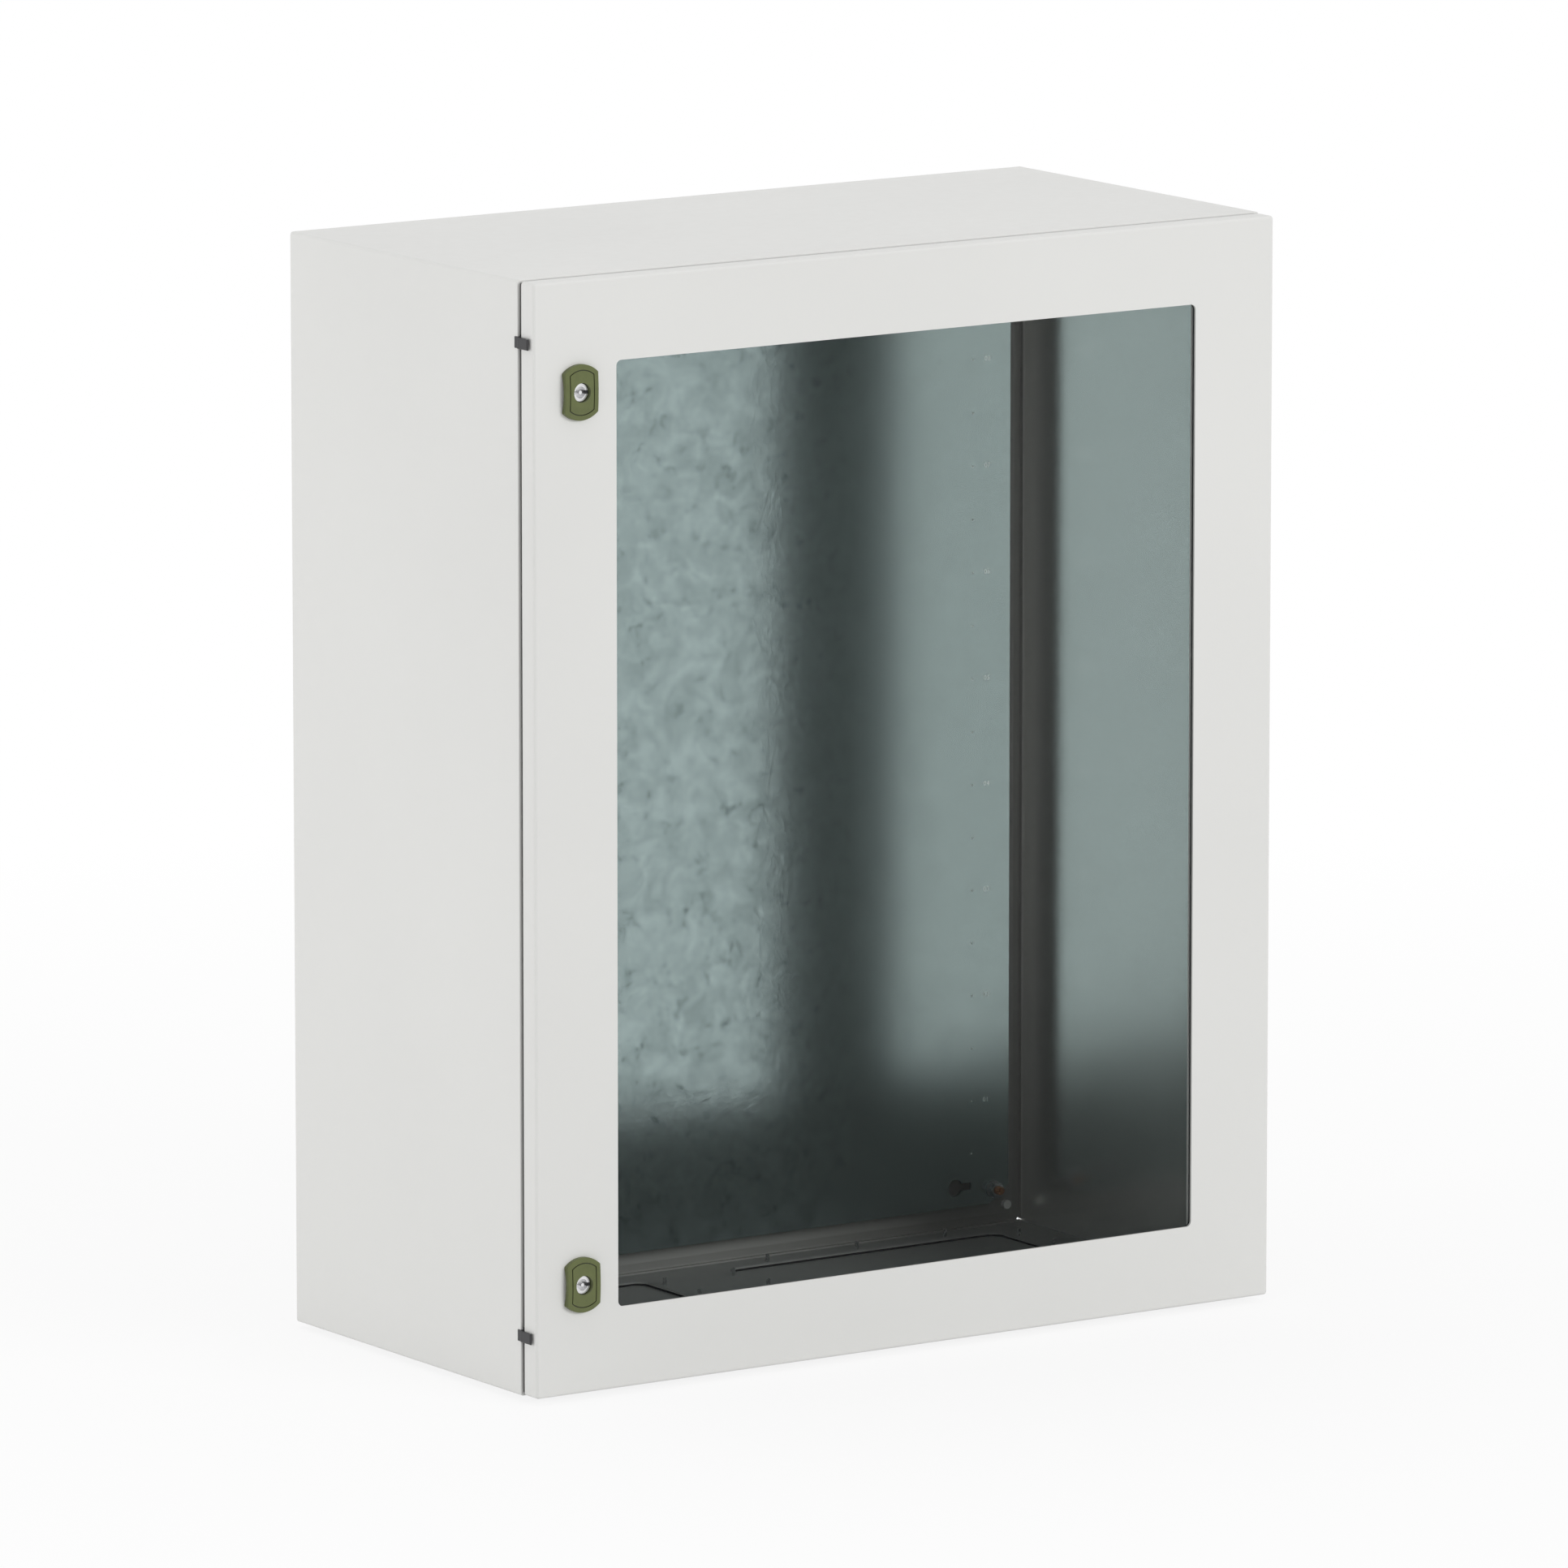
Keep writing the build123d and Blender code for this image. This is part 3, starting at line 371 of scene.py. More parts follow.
def build_plated(tree, entry):
    """Plated or cast metal: a fine grain, with dull patches."""
    place = object_place(tree)
    patches = noise(tree, place, size=0.006, detail=4.0, rough=0.6)
    fine = noise(tree, place, entry["Grain"])
    tinted = shade(tree, entry["Colour"], spread(tree, patches, 0.86, 1.04))
    rough = math_node(tree, "ADD", entry["Roughness"], spread(tree, patches, -0.06, 0.08),
                      clamp=True)
    return tinted, rough, fine


def plated():
    """The plated metals' group."""
    return finish_group("Plated Metal", build_plated,
                        (("Colour", "colour", (0.7, 0.7, 0.7, 1.0)), ("Roughness", "number", 0.3),
                         ("Grain", "number", 0.0005)))


def build_moulded(tree, entry):
    """Moulded plastic, rubber or foam: an even grain with a little drift of tone."""
    place = object_place(tree)
    drift = noise(tree, place, size=0.009, detail=3.0)
    fine = noise(tree, place, entry["Grain"], rough=0.6)
    both = math_node(tree, "MULTIPLY_ADD", fine, 0.4, math_node(tree, "MULTIPLY", drift, 0.6))
    tinted = shade(tree, entry["Colour"], remap(tree, both, 0.35, 0.65, 0.90, 1.08))
    rough = math_node(tree, "ADD", entry["Roughness"], spread(tree, fine, -0.05, 0.07), clamp=True)
    return tinted, rough, fine


def moulded():
    """The group of the moulded materials."""
    return finish_group("Moulded Grain", build_moulded,
                        (("Colour", "colour", (0.2, 0.2, 0.2, 1.0)), ("Roughness", "number", 0.5),
                         ("Grain", "number", 0.0008)))


def inward_faces():
    """Masks of the upright and the level faces that look towards the middle, behind a depth."""
    name = "Inward Faces"
    if name in bpy.data.node_groups:
        return bpy.data.node_groups[name]
    tree, entry, leave = start_group(name, (("From Y", "number", -1.0),),
                                     (("Upright", "number"), ("Level", "number")))
    coordinates = put(tree, "ShaderNodeTexCoord").outputs
    place, normal = coordinates["Object"], coordinates["Normal"]
    middle = tuple((BODY_LOW + BODY_HIGH) / 2)
    outwards = put(tree, "ShaderNodeVectorMath", {0: place, 1: middle}, operation="SUBTRACT")
    facing = put(tree, "ShaderNodeVectorMath", {0: outwards.outputs[0], 1: normal},
                 operation="DOT_PRODUCT").outputs["Value"]
    inwards = math_node(tree, "LESS_THAN", facing, 0.0)
    tilt = put(tree, "ShaderNodeSeparateXYZ", {0: normal}).outputs["Z"]
    level = math_node(tree, "GREATER_THAN", math_node(tree, "ABSOLUTE", tilt), 0.5)
    upright = math_node(tree, "SUBTRACT", 1.0, level)
    depth = put(tree, "ShaderNodeSeparateXYZ", {0: place}).outputs["Y"]
    behind = math_node(tree, "GREATER_THAN", depth, entry["From Y"])
    within = math_node(tree, "MULTIPLY", inwards, behind)
    for mask, socket_name in ((level, "Level"), (upright, "Upright")):
        tree.links.new(math_node(tree, "MULTIPLY", within, mask), leave.inputs[socket_name])
    return tree


# Materials

def start_material(name):
    """A material with one Principled shader wired to its output: its tree, shader and output."""
    material = bpy.data.materials.new(name)
    material.use_nodes = True
    tree = material.node_tree
    tree.nodes.clear()
    leave = tree.nodes.new("ShaderNodeOutputMaterial")
    shader = tree.nodes.new("ShaderNodeBsdfPrincipled")
    tree.links.new(shader.outputs[0], leave.inputs["Surface"])
    return material, tree, shader, leave


def place_group(tree, group, **inputs):
    """A node group placed in a material with its own values: its outputs."""
    values = {name.replace("_", " ").title(): value for name, value in inputs.items()}
    return put(tree, "ShaderNodeGroup", values, node_tree=group).outputs


def apply_finish(tree, shader, tint, rough, height, relief):
    """Wire a finish to a shader: its colour, its roughness and its relief, in metres."""
    normal = put(tree, "ShaderNodeBump", {"Height": height, "Distance": relief}).outputs[0]
    for socket, name in ((tint, "Base Color"), (rough, "Roughness"), (normal, "Normal")):
        tree.links.new(socket, shader.inputs[name])


def powder_coat(name, inner_from=None, inner_painted_shade=None, steel=None):
    """Powder coat; behind inner_from, inward faces get inner_painted_shade, or steel if upright."""
    colours = bpy.context.scene.enclosure_colours
    material, tree, shader, _ = start_material(name)
    coat = place_group(tree, orange_peel(), colour=opaque(colours.paint), grain=PEEL_GRAIN)
    tint, rough, height = coat["Colour"], coat["Roughness"], coat["Height"]
    if inner_from is not None:
        inner = place_group(tree, inward_faces(), from_y=inner_from)
        upright = inner["Upright"]
        # Painted shade: inward faces behind inner_from take a darker colour than the paint
        tint = mix_colours(tree, inner["Level"], tint, opaque(inner_painted_shade))
        tint = mix_colours(tree, upright, tint, opaque(inner_painted_shade if steel is None else steel))
        if steel is not None:
            patches = noise(tree, object_place(tree), STEEL_PATCH, detail=4.0)
            rough = mix_numbers(tree, upright, rough, spread(tree, patches, *STEEL_ROUGHNESS))
            height = mix_numbers(tree, upright, height, FLAT)
            metal = math_node(tree, "MULTIPLY", upright, STEEL_METAL)
            tree.links.new(metal, shader.inputs["Metallic"])
    apply_finish(tree, shader, tint, rough, height, PEEL_RELIEF)
    return material


def galvanised_plate():
    """Mounting plate: cloudy galvanising, calmer towards the hinge side."""
    colours = bpy.context.scene.enclosure_colours
    material, tree, shader, _ = start_material("galvanised_plate")
    finish = place_group(tree, spangle(), colour=opaque(colours.plate),
                         dark=opaque(colours.plate_dark), cloud=0.024, speck=0.012,
                         calm_from=0.12, calm_to=0.22, wave_place=0.085, wave_length=0.72,
                         wave_height=PLATE_WAVE / PLATE_RELIEF)
    shader.inputs["Metallic"].default_value = PLATE_METAL
    apply_finish(tree, shader, finish["Colour"], finish["Roughness"], finish["Height"],
                 PLATE_RELIEF)
    return material


def plated_metal(name, base, roughness, grain=0.0005, relief=0.00002):
    """A plated or cast metal."""
    material, tree, shader, _ = start_material(name)
    finish = place_group(tree, plated(), colour=opaque(base), roughness=roughness, grain=grain)
    shader.inputs["Metallic"].default_value = 1.0
    apply_finish(tree, shader, finish["Colour"], finish["Roughness"], finish["Height"], relief)
    return material


def moulded_plastic(name, base, roughness, grain=0.0008, relief=0.00003, groove=None):
    """A moulded plastic, rubber or foam, with painted shade in grooves about as wide as groove."""
    material, tree, shader, _ = start_material(name)
    finish = place_group(tree, moulded(), colour=opaque(base), roughness=roughness, grain=grain)
    tint = finish["Colour"]
    if groove is not None:
        # Painted shade: ambient occlusion darkens the colour in the piece's grooves and hollows
        occlusion_for_painted_shade = put(tree, "ShaderNodeAmbientOcclusion", {"Distance": groove}, only_local=True)
        tone = remap(tree, occlusion_for_painted_shade.outputs["AO"], *PAINTED_SHADE_OPENNESS, PAINTED_SHADE_SHARE, 1.0)
        tint = shade(tree, tint, tone)
    apply_finish(tree, shader, tint, finish["Roughness"], finish["Height"], relief)
    return material


def tinted_glass():
    """Safety glass: faintly tinted, slightly wavy, and clear to lamps so that the inside is lit."""
    colours = bpy.context.scene.enclosure_colours
    material, tree, shader, leave = start_material("tinted_glass")
    place = object_place(tree)
    tint = opaque(colours.glass)
    paler = opaque([min(1.0, GLASS_DRIFT * part) for part in colours.glass])
    drift = mix_colours(tree, noise(tree, place, size=0.4), tint, paler)
    smears = remap(tree, noise(tree, place, size=0.08, detail=3.0), 0.4, 0.7, 0.0, 0.015)
    wave = noise(tree, place, size=0.25, detail=1.0)
    apply_finish(tree, shader, drift, smears, wave, GLASS_RELIEF)
    shader.inputs["Transmission Weight"].default_value = 1.0
    shader.inputs["IOR"].default_value = GLASS_IOR
    clear = put(tree, "ShaderNodeBsdfTransparent", {"Color": tint})
    path = put(tree, "ShaderNodeLightPath").outputs
    lamp_ray = math_node(tree, "MAXIMUM", path["Is Shadow Ray"], path["Is Diffuse Ray"])
    both = put(tree, "ShaderNodeMixShader",
               {0: lamp_ray, 1: shader.outputs[0], 2: clear.outputs[0]})
    tree.links.new(both.outputs[0], leave.inputs["Surface"])
    return material


def dress(names, material):
    """Give packed nodes their finish."""
    for name in names:
        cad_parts[name].material_slots[0].material = material


def on_both_levels(*kinds):
    """Names of pieces that there is an upper and a lower one of."""
    return [f"{kind}_{level}" for kind in kinds for level in LEVELS]


# Modelling

def start_clean():
    """Object mode, with nothing selected."""
    if bpy.context.object and bpy.context.object.mode != "OBJECT":
        bpy.ops.object.mode_set(mode="OBJECT")
    bpy.ops.object.select_all(action="DESELECT")


def only(*objects):
    """Select these objects alone, with the first one active, and return that one."""
    start_clean()
    for item in objects:
        item.select_set(True)
    bpy.context.view_layer.objects.active = objects[0]
    return objects[0]


def turn_outwards():
    """Point all faces of the mesh in edit mode outwards, and go back to object mode."""
    bpy.ops.mesh.select_all(action="SELECT")
    bpy.ops.mesh.normals_make_consistent(inside=False)
    bpy.ops.object.mode_set(mode="OBJECT")


def corners_of(piece):
    """Lowest and highest corner of an object whose place is in its mesh."""
    points = [vertex.co for vertex in piece.data.vertices]
    low = Vector([min(point[axis] for point in points) for axis in range(3)])
    high = Vector([max(point[axis] for point in points) for axis in range(3)])
    return low, high


def solids_of(name):
    """Lowest and highest corner of each separate solid of a packed node."""
    only(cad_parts[name])
    bpy.ops.object.duplicate()
    bpy.ops.object.mode_set(mode="EDIT")
    bpy.ops.mesh.select_all(action="SELECT")
    bpy.ops.mesh.remove_doubles(threshold=MERGE)
    bpy.ops.mesh.separate(type="LOOSE")
    bpy.ops.object.mode_set(mode="OBJECT")
    boxes = [corners_of(copy) for copy in bpy.context.selected_objects]
    bpy.ops.object.delete()
    return sorted(boxes, key=lambda box: tuple(box[0]))


def move_vertices_in_place(piece):
    """Put an object's place into its mesh, so that the object sits at the origin."""
    only(piece)
    bpy.ops.object.transform_apply(location=True, rotation=True, scale=True)


def stand_in_box(piece, low, high, axis):
    """Lay a piece that was made along Z into a box, along the box's axis."""
    own_low, own_high = corners_of(piece)
    piece.data.transform(Matrix.Translation(-(own_low + own_high) / 2))
    piece.rotation_euler = ((0, math.pi / 2, 0), (math.pi / 2, 0, 0), (0, 0, 0))[axis]
    piece.location = (low + high) / 2
    move_vertices_in_place(piece)


def copy_to_boxes(pattern, boxes, axis):
    """One copy of a pattern for each box, each with its own mesh, joined into one object."""
    pieces = []
    for low, high in boxes:
        only(pattern)
        bpy.ops.object.duplicate()
        piece = bpy.context.object
        stand_in_box(piece, low, high, axis)
        pieces.append(piece)
    only(pattern)
    bpy.ops.object.delete()
    first = only(*pieces)
    if len(pieces) > 1:
        bpy.ops.object.join()
    return first


def finish_piece(piece, name, body, slot, material, *replaced):
    """Name a finished piece, give it its finish and body, and hide the nodes it stands for."""
    move_vertices_in_place(piece)
    bpy.ops.object.shade_smooth_by_angle(angle=SMOOTH_ANGLE)
    piece.name = name
    piece.data.name = name
    piece.data.materials.clear()
    piece.data.materials.append(material)
    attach(piece, body)
    if replaced:
        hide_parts(*replaced)


def pick_vertices(piece, wanted):
    """Enter edit mode with only those vertices selected whose place is wanted."""
    only(piece)
    bpy.ops.object.mode_set(mode="EDIT")
    bpy.ops.mesh.select_mode(type="VERT")
    bpy.ops.mesh.select_all(action="DESELECT")
    bpy.ops.object.mode_set(mode="OBJECT")
    for vertex in piece.data.vertices:
        vertex.select = wanted(vertex.co)
    bpy.ops.object.mode_set(mode="EDIT")


def threaded_rod(radius, rod_length, pitch):
    """A rod along Z with a real thread, cut square at both ends."""
    settings = bpy.context.scene.enclosure_threads
    depth = settings.depth_share * pitch
    turns = math.ceil(rod_length / pitch) + 2
    root = (radius - depth, 0, 0)
    start_clean()
    # A square that stands on its corner, less its inner corner, is the profile of one tooth
    bpy.ops.mesh.primitive_plane_add(size=pitch / math.sqrt(2), location=root,
                                     rotation=(math.pi / 2, math.pi / 4, 0))
    rod = bpy.context.object
    move_vertices_in_place(rod)
    pick_vertices(rod, lambda place: place.x < root[0] - MERGE)
    bpy.ops.mesh.delete(type="VERT")
    bpy.ops.mesh.select_all(action="SELECT")
    bpy.ops.transform.resize(value=(2 * depth / pitch, 1, 1), center_override=root)
    bpy.ops.mesh.screw(steps=settings.steps, turns=turns, center=(0, 0, 0), axis=(0, 0, 1))
    bpy.ops.mesh.select_all(action="SELECT")
    bpy.ops.mesh.remove_doubles(threshold=MERGE)
    # The thread grows downwards, so the rod is cut from the turns below the first
    for end, outwards in ((-pitch, 1), (-pitch - rod_length, -1)):
        bpy.ops.mesh.select_all(action="SELECT")
        bpy.ops.mesh.bisect(plane_co=(0, 0, end), plane_no=(0, 0, outwards),
                            use_fill=True, clear_outer=True, threshold=MERGE)
    turn_outwards()
    return rod


def boolean(piece, tool, operation):
    """Combine a piece with a tool, and remove the tool."""
    only(piece)
    modifier = piece.modifiers.new("Cut", "BOOLEAN")
    modifier.operation = operation
    modifier.solver = "EXACT"
    modifier.object = tool
    bpy.ops.object.modifier_apply(modifier=modifier.name)
    only(tool)
    bpy.ops.object.delete()


def chamfered_barrel(radius, face_radius, thickness):
    """A round bar along Z, chamfered down to face_radius where a nut of that thickness ends.

    Its chamfers go on beyond the nut, because a cut can fail where faces coincide.
    """
    slope = math.tan(NUT_CHAMFER)
    straight = thickness - 2 * (radius - face_radius) * slope
    tip_radius = face_radius * BARREL_TIP_SHARE
    chamfer = (radius - tip_radius) * slope
    start_clean()
    bpy.ops.mesh.primitive_circle_add(vertices=BARREL_FACETS, radius=tip_radius,
                                      fill_type="NGON", location=(0, 0, -straight / 2 - chamfer))
    bpy.ops.object.mode_set(mode="EDIT")
    wider = radius / tip_radius
    for rise, scale in ((chamfer, wider), (straight, 1), (chamfer, 1 / wider)):
        bpy.ops.mesh.extrude_region_move(TRANSFORM_OT_translate={"value": (0, 0, rise)})
        bpy.ops.transform.resize(value=(scale, scale, 1), center_override=(0, 0, 0))
    turn_outwards()
    return bpy.context.object


def chamfered_nut(flats, thickness, bore):
    """A hexagon nut along Z with its corners chamfered at both ends, and its bore."""
    corner_radius = flats / math.sqrt(3)
    start_clean()
    bpy.ops.mesh.primitive_cylinder_add(vertices=6, radius=corner_radius, depth=thickness,
                                        rotation=(0, 0, math.pi / 6))
    nut = bpy.context.object
    move_vertices_in_place(nut)
    barrel = chamfered_barrel(corner_radius * NUT_CLEARANCE, flats * NUT_FACE_SHARE, thickness)
    boolean(nut, barrel, "INTERSECT")
    start_clean()
    bpy.ops.mesh.primitive_cylinder_add(vertices=BARREL_FACETS, radius=bore, depth=2 * thickness)
    boolean(nut, bpy.context.object, "DIFFERENCE")
    return nut


# Operators, one for each group of like pieces

class PaintSheetMetal(bpy.types.Operator):
    """Powder coat the sheet metal, with bare steel on the body's inner sides"""

    bl_idname = "enclosure.paint_sheet_metal"
    bl_label = "Paint Sheet Metal"

    def execute(self, context):
        colours = context.scene.enclosure_colours
        # The body's floor and ceiling inside, the back panel's inner face and the gland plates'
        # tops get painted shade
        dress(["body_shell"], powder_coat("painted_body", BODY_LOW.y + FLANGE_ZONE,
                                          colours.inner_painted_shade, colours.bare_steel))
        dress(["door_panel"], powder_coat("painted_door"))
        dress(["back_panel"], powder_coat("painted_back", BODY_LOW.y, colours.back_painted_shade))
        dress(["gland_plate_left", "gland_plate_right"],
              powder_coat("painted_inside", BODY_LOW.y - DOOR_DEPTH, colours.inner_painted_shade))
        dress([f"glass_strip_{side}" for side in ("left", "right", "top", "bottom")],
              powder_coat("painted_strips"))
        return {"FINISHED"}


class GalvanisePlate(bpy.types.Operator):
    """Give the mounting plate its cloudy galvanising"""

    bl_idname = "enclosure.galvanise_plate"
    bl_label = "Galvanise Mounting Plate"

    def execute(self, context):
        dress(["mounting_plate"], galvanised_plate())
        return {"FINISHED"}


class MarkScale(bpy.types.Operator):
    """Put the scale of dots and numerals on the right edge of the mounting plate"""

    bl_idname = "enclosure.mark_scale"
    bl_label = "Mark Plate Scale"

    def dot(self, settings, height):
        """One dot, a low cone without its tip on the plate's front."""
        start_clean()
        place = (PLATE_HIGH.x - settings.dot_inset, PLATE_LOW.y, height)
        bpy.ops.mesh.primitive_circle_add(vertices=DOT_FACETS, radius=settings.dot_radius,
                                          fill_type="NGON", location=place,
                                          rotation=(math.pi / 2, 0, 0))
        dot = bpy.context.object
        move_vertices_in_place(dot)
        bpy.ops.object.mode_set(mode="EDIT")
        bpy.ops.mesh.select_all(action="SELECT")
        bpy.ops.mesh.extrude_region_move(TRANSFORM_OT_translate={"value": (0, -settings.rise, 0)})
        bpy.ops.transform.resize(value=(DOT_TAPER, 1, DOT_TAPER), center_override=place)
        turn_outwards()
        return dot

    def numeral(self, settings, number, height):
        """One raised numeral, centred on its mark."""
        start_clean()
        place = (PLATE_HIGH.x - settings.numeral_inset, PLATE_LOW.y, height)
        bpy.ops.object.text_add(location=place, rotation=(math.pi / 2, 0, 0))
        text = bpy.context.object.data
        text.body = f"{number:02d}"
        text.align_x = "CENTER"
        text.align_y = "CENTER"
        text.size = settings.numeral_size
        text.space_character = NUMERAL_SPACING
        text.resolution_u = NUMERAL_FACETS
        text.extrude = settings.rise
        bpy.ops.object.convert(target="MESH")
        numeral = bpy.context.object
        move_vertices_in_place(numeral)
        return numeral

    def execute(self, context):
        settings = context.scene.enclosure_scale
        colours = context.scene.enclosure_colours
        marks = []
        count = int((PLATE_HIGH.z - PLATE_LOW.z) / settings.dot_pitch)
        for i in range(1, count):
            height = PLATE_LOW.z + i * settings.dot_pitch
            marks.append(self.dot(settings, height))
            if i % settings.dots_per_numeral == 0:
                marks.append(self.numeral(settings, i // settings.dots_per_numeral, height))
        scale = only(*marks)
        bpy.ops.object.join()
        finish_piece(scale, "plate_scale", "cabinet", "galvanised_sheet",
                     plated_metal("scale_marks", colours.scale_mark, roughness=0.35))
        return {"FINISHED"}


class TurnNuts(bpy.types.Operator):
    """Replace the plain hexagons by chamfered nuts"""

    bl_idname = "enclosure.turn_nuts"
    bl_label = "Turn Nuts"

    def turn(self, node, axis, body, bore, zinc):
        """Chamfered nuts in the place of a node's plain hexagons."""
        boxes = solids_of(node)
        low, high = boxes[0]
        flats = min(high[i] - low[i] for i in range(3) if i != axis)
        nut = chamfered_nut(flats, high[axis] - low[axis], bore)
        finish_piece(copy_to_boxes(nut, boxes, axis), f"chamfered_{node}", body, "zinc_plated",
                     zinc, node)

    def execute(self, context):
        zinc = plated_metal("zinc_nuts", context.scene.enclosure_colours.zinc, roughness=0.19)
        for node, stud, axis, body in (("plate_nuts", "plate_studs", 1, "cabinet"),
                                       ("body_earth_nut", "body_earth_stud", 0, "cabinet"),
                                       ("door_earth_nut", "door_earth_stud", 1, "door"),
                                       ("glass_strip_nuts", "glass_strip_studs", 1, "door")):
            low, high = solids_of(stud)[0]
            self.turn(node, axis, body, (high.z - low.z) / 2, zinc)
        for node in on_both_levels("lock_nut"):
            self.turn(node, 1, "door", LOCK_BARREL_R, zinc)
        return {"FINISHED"}


class CutThreads(bpy.types.Operator):
    """Replace the plain weld studs by studs with real threads"""

    bl_idname = "enclosure.cut_threads"
    bl_label = "Cut Stud Threads"

    def execute(self, context):
        settings = context.scene.enclosure_threads
        copper = plated_metal("copper_plating", context.scene.enclosure_colours.copper,
                              roughness=0.22)
        for node, axis, body, pitch in (("plate_studs", 1, "cabinet", settings.m8_pitch),
                                        ("body_earth_stud", 0, "cabinet", settings.m8_pitch),
                                        ("door_earth_stud", 1, "door", settings.m8_pitch),
                                        ("glass_strip_studs", 1, "door", settings.m4_pitch)):
            boxes = solids_of(node)
            low, high = boxes[0]
            rod = threaded_rod((high.z - low.z) / 2, high[axis] - low[axis], pitch)
            studs = copy_to_boxes(rod, boxes, axis)
            finish_piece(studs, f"threaded_{node}", body, "copper_plated", copper, node)
        return {"FINISHED"}


class GlazeWindow(bpy.types.Operator):
    """Make the window of faintly tinted safety glass"""

    bl_idname = "enclosure.glaze_window"
    bl_label = "Glaze Window"

    def execute(self, context):
        dress(["window_glass"], tinted_glass())
        return {"FINISHED"}


class MouldSeals(bpy.types.Operator):
    """Give the seals and the gasket their rubber and foam"""

    bl_idname = "enclosure.mould_seals"
    bl_label = "Mould Seals"

    def execute(self, context):
        colours = context.scene.enclosure_colours
        dress(["window_seal", "gland_seal_left", "gland_seal_right"],
              moulded_plastic("seal_rubber", colours.rubber, roughness=0.55))
        dress(["door_gasket"], moulded_plastic("gasket_foam", colours.foam, roughness=0.8,
                                               grain=0.0012, relief=0.00025))
        return {"FINISHED"}


class MouldPlastics(bpy.types.Operator):
    """Give the plugs, lock covers, lock housings and wall caps their plastics"""

    bl_idname = "enclosure.mould_plastics"
    bl_label = "Mould Plastics"

    def execute(self, context):
        colours = context.scene.enclosure_colours
        dress(on_both_levels("notch_plug", "lock_housing"),
              moulded_plastic("black_plastic", colours.black_plastic, roughness=0.42))
        # The lock covers get painted shade in their grooves
        dress(on_both_levels("lock_cap"),
              moulded_plastic("olive_plastic", colours.olive_plastic, roughness=0.40,
                              groove=PAINTED_SHADE_REACH))
        dress(["wall_hole_caps"],
              moulded_plastic("pale_plastic", colours.pale_plastic, roughness=0.45))
        return {"FINISHED"}


class PlateMetals(bpy.types.Operator):
    """Give the hinges, lock works, washers, spacers and screws their castings and plating"""

    bl_idname = "enclosure.plate_metals"
    bl_label = "Plate Metals"

    def execute(self, context):
        colours = context.scene.enclosure_colours
        dress(on_both_levels("hinge_arm", "hinge_bracket", "lock_spindle"),
              plated_metal("die_casting", colours.die_cast, roughness=0.30,
                           grain=0.0012, relief=0.00003))
        zinc = on_both_levels("hinge_pin", "lock_cam", "lock_cam_screw")
        zinc += ["hinge_screws", "gland_screws", "plate_washers", "plate_spacers",
                 "body_earth_washer", "door_earth_washer"]
        dress(zinc, plated_metal("zinc_plating", colours.zinc, roughness=0.28))
        return {"FINISHED"}


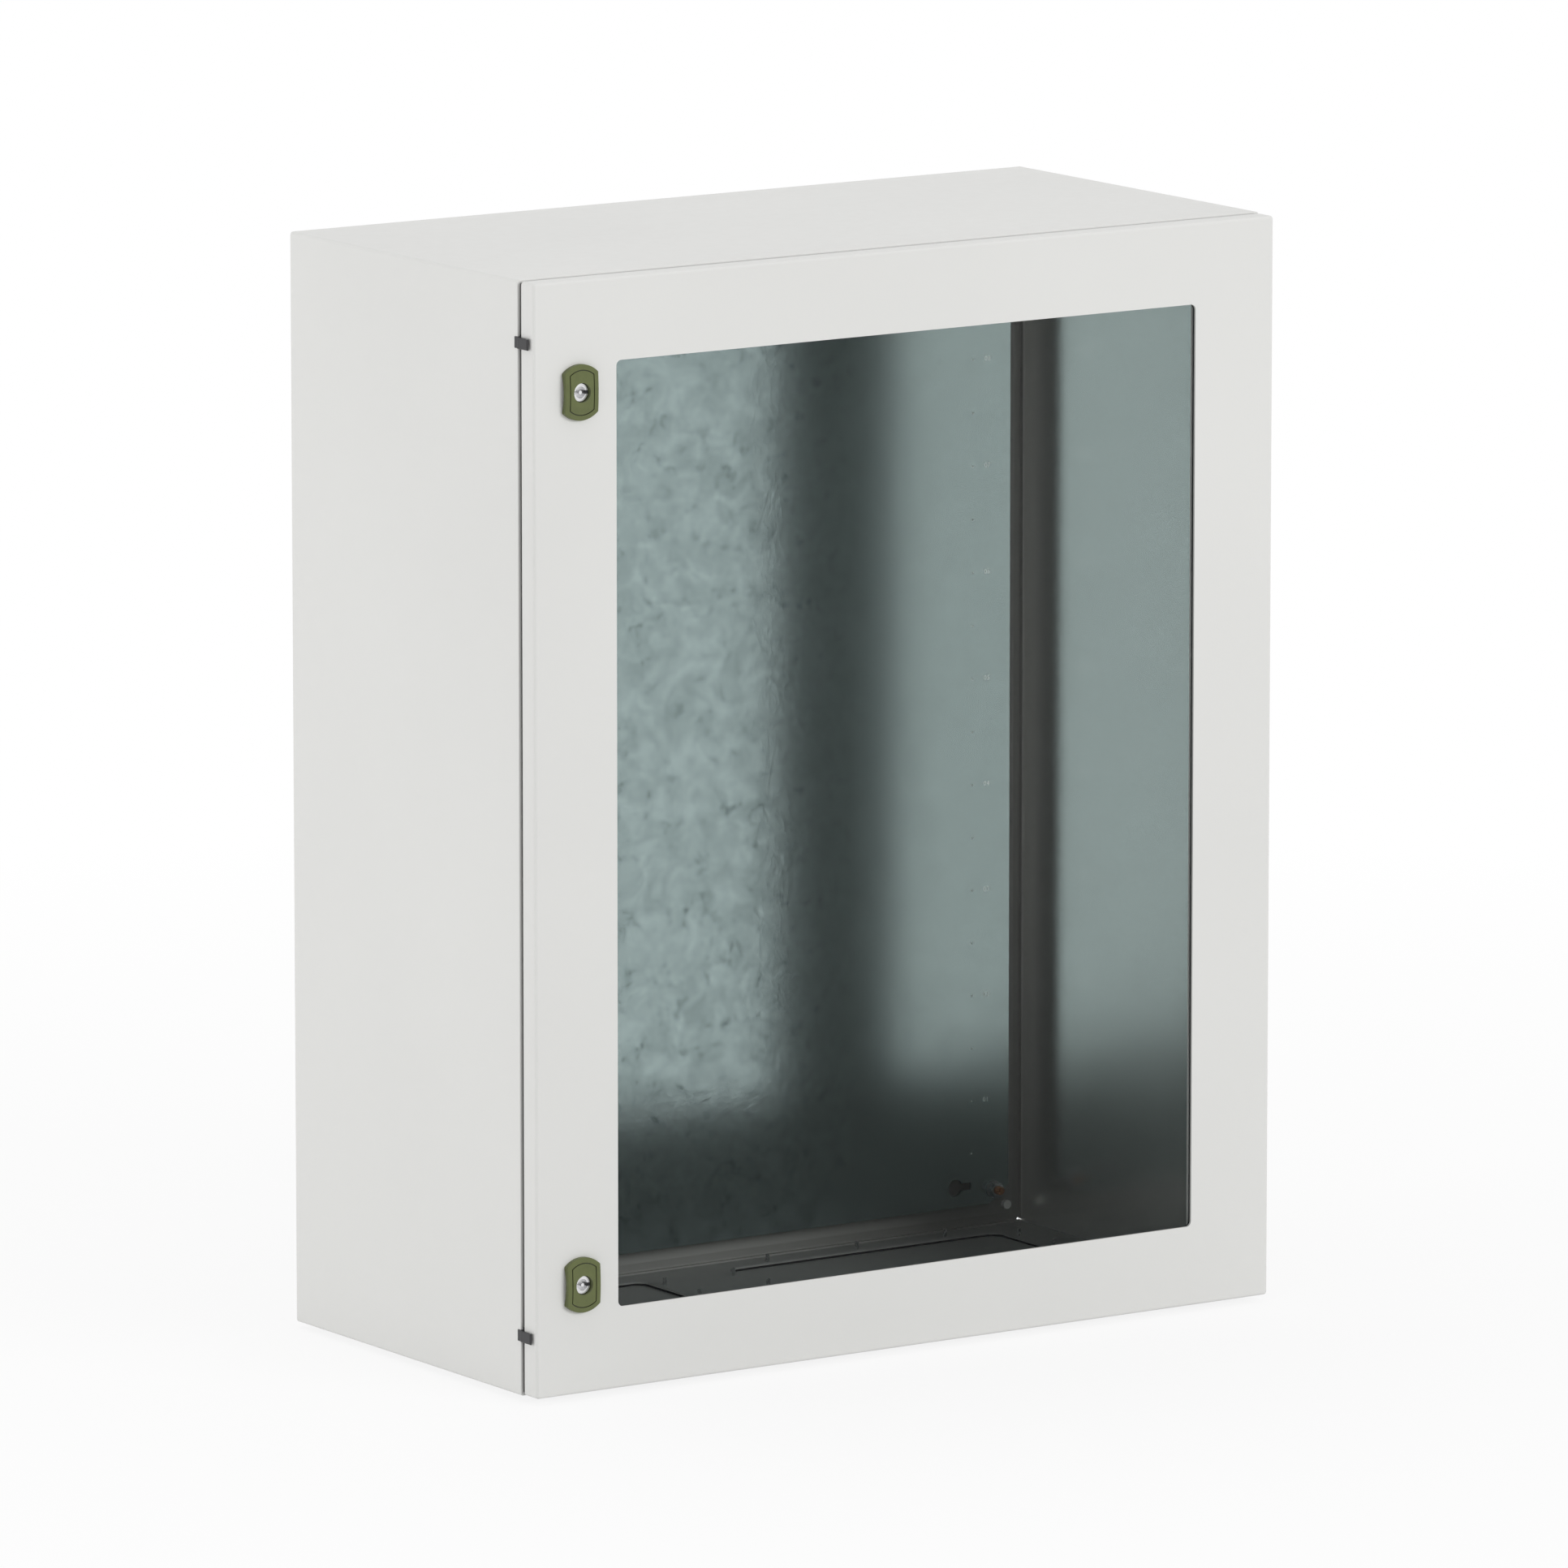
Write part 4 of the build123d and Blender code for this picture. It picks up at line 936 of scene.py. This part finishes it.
class BuildStudio(bpy.types.Operator):
    """Set up the pale floor, the soft light and the camera"""

    bl_idname = "enclosure.build_studio"
    bl_label = "Build Studio"

    def shown_ray(self, tree):
        """One for rays that show the backdrop: straight, mirrored or through glass."""
        path = put(tree, "ShaderNodeLightPath").outputs
        mirrored = math_node(tree, "MAXIMUM", path["Is Glossy Ray"], path["Is Transmission Ray"])
        return math_node(tree, "MAXIMUM", path["Is Camera Ray"], mirrored)

    def floor(self, settings):
        """A white floor that keeps a soft shadow near the enclosure."""
        start_clean()
        bpy.ops.mesh.primitive_plane_add(size=settings.floor_size,
                                         location=(0, 0, CAD_LOW.z - settings.floor_gap))
        floor = bpy.context.object
        floor.name = "studio_floor"
        material, tree, shader, leave = start_material("studio_floor")
        shader.inputs["Base Color"].default_value = FLOOR_GREY
        shader.inputs["Roughness"].default_value = FLOOR_ROUGHNESS
        shader.inputs["Specular IOR Level"].default_value = 0.0
        away = put(tree, "ShaderNodeVectorMath", {0: object_place(tree)}, operation="LENGTH")
        white_share = remap(tree, away.outputs["Value"], SHADOW_NEAR, SHADOW_FAR, SHADOW_GLOW, 1.0)
        glow = put(tree, "ShaderNodeEmission", {"Color": WHITE, "Strength": 1.0})
        share = math_node(tree, "MULTIPLY", self.shown_ray(tree), white_share)
        both = put(tree, "ShaderNodeMixShader",
                   {0: share, 1: shader.outputs[0], 2: glow.outputs[0]})
        tree.links.new(both.outputs[0], leave.inputs["Surface"])
        material.cycles.emission_sampling = "NONE"
        floor.data.materials.append(material)

    def sky(self, scene, settings):
        """White where it shows, and an even soft light elsewhere."""
        world = bpy.data.worlds.new("studio_sky")
        world.use_nodes = True
        tree = world.node_tree
        tree.nodes.clear()
        path = put(tree, "ShaderNodeLightPath").outputs
        direction = put(tree, "ShaderNodeTexCoord").outputs["Generated"]
        rise = put(tree, "ShaderNodeSeparateXYZ", {0: direction}).outputs["Z"]
        mirrored = math_node(tree, "GREATER_THAN", path["Glossy Depth"], 0.5)
        behind_glass = math_node(tree, "GREATER_THAN", path["Transmission Depth"], 0.5)
        shown = mix_numbers(tree, math_node(tree, "MULTIPLY", mirrored, behind_glass), 1.0,
                            remap(tree, rise, 0.0, HORIZON, 1.0, settings.ceiling))
        strength = mix_numbers(tree, self.shown_ray(tree), settings.sky, shown)
        back = put(tree, "ShaderNodeBackground", {"Color": WHITE, "Strength": strength})
        leave = tree.nodes.new("ShaderNodeOutputWorld")
        tree.links.new(back.outputs[0], leave.inputs["Surface"])
        # Only rays that meet the sky see it, so that mirrors behind the glass don't get it twice
        world.cycles.sampling_method = "NONE"
        scene.world = world

    def lamp(self, name, place, width, height, watts):
        """A large lamp that points at the middle of the enclosure and shows in no mirror."""
        start_clean()
        turn = (MIDDLE - Vector(place)).to_track_quat("-Z", "Y").to_euler()
        bpy.ops.object.light_add(type="AREA", location=place, rotation=turn)
        lamp = bpy.context.object
        lamp.name = name
        lamp.data.shape = "RECTANGLE"
        lamp.data.size = width
        lamp.data.size_y = height
        lamp.data.energy = watts
        lamp.visible_glossy = False
        lamp.visible_transmission = False

    def camera(self, scene, settings):
        """The photo's view, as nearly as a camera without shift gives it."""
        start_clean()
        turn = (math.pi / 2 - settings.camera_tilt, 0, -settings.camera_turn)
        bpy.ops.object.camera_add(location=settings.camera_place, rotation=turn)
        camera = bpy.context.object
        camera.name = "photo_camera"
        camera.data.lens = settings.lens
        camera.data.clip_end = 2 * settings.floor_size
        scene.camera = camera

    def execute(self, context):
        scene = context.scene
        settings = scene.enclosure_studio
        self.floor(settings)
        self.sky(scene, settings)
        for name, place, width, height, setting in LAMPS:
            self.lamp(name, place, width, height, getattr(settings, setting))
        self.camera(scene, settings)
        scene.view_settings.view_transform = "Standard"
        return {"FINISHED"}


# The nuts measure the plain studs, so they come before the threads
OPERATORS = (PaintSheetMetal, GalvanisePlate, MarkScale, TurnNuts, CutThreads, GlazeWindow,
             MouldSeals, MouldPlastics, PlateMetals, BuildStudio)
SETTINGS = (("enclosure_colours", EnclosureColours), ("enclosure_scale", ScaleSettings),
            ("enclosure_threads", ThreadSettings), ("enclosure_studio", StudioSettings))


class EnclosurePanel(bpy.types.Panel):
    """Settings and steps of the enclosure"""

    bl_idname = "VIEW3D_PT_enclosure"
    bl_label = "Glazed Wall Enclosure"
    bl_space_type = "VIEW_3D"
    bl_region_type = "UI"
    bl_category = "Enclosure"

    def draw(self, context):
        for name, group in SETTINGS:
            box = self.layout.box()
            box.label(text=group.__doc__)
            for setting in group.__annotations__:
                box.prop(getattr(context.scene, name), setting)
        for operator in OPERATORS:
            self.layout.operator(operator.bl_idname)


def register():
    for name, group in SETTINGS:
        bpy.utils.register_class(group)
        setattr(bpy.types.Scene, name, PointerProperty(type=group))
    for operator in OPERATORS:
        bpy.utils.register_class(operator)
    bpy.utils.register_class(EnclosurePanel)


def unregister():
    bpy.utils.unregister_class(EnclosurePanel)
    for operator in reversed(OPERATORS):
        bpy.utils.unregister_class(operator)
    for name, group in reversed(SETTINGS):
        delattr(bpy.types.Scene, name)
        bpy.utils.unregister_class(group)


def main():
    """Register, and run each step in order."""
    register()
    for operator in OPERATORS:
        step = operator.bl_idname.split(".")[1]
        getattr(bpy.ops.enclosure, step)()


if __name__ == "__main__":
    main()
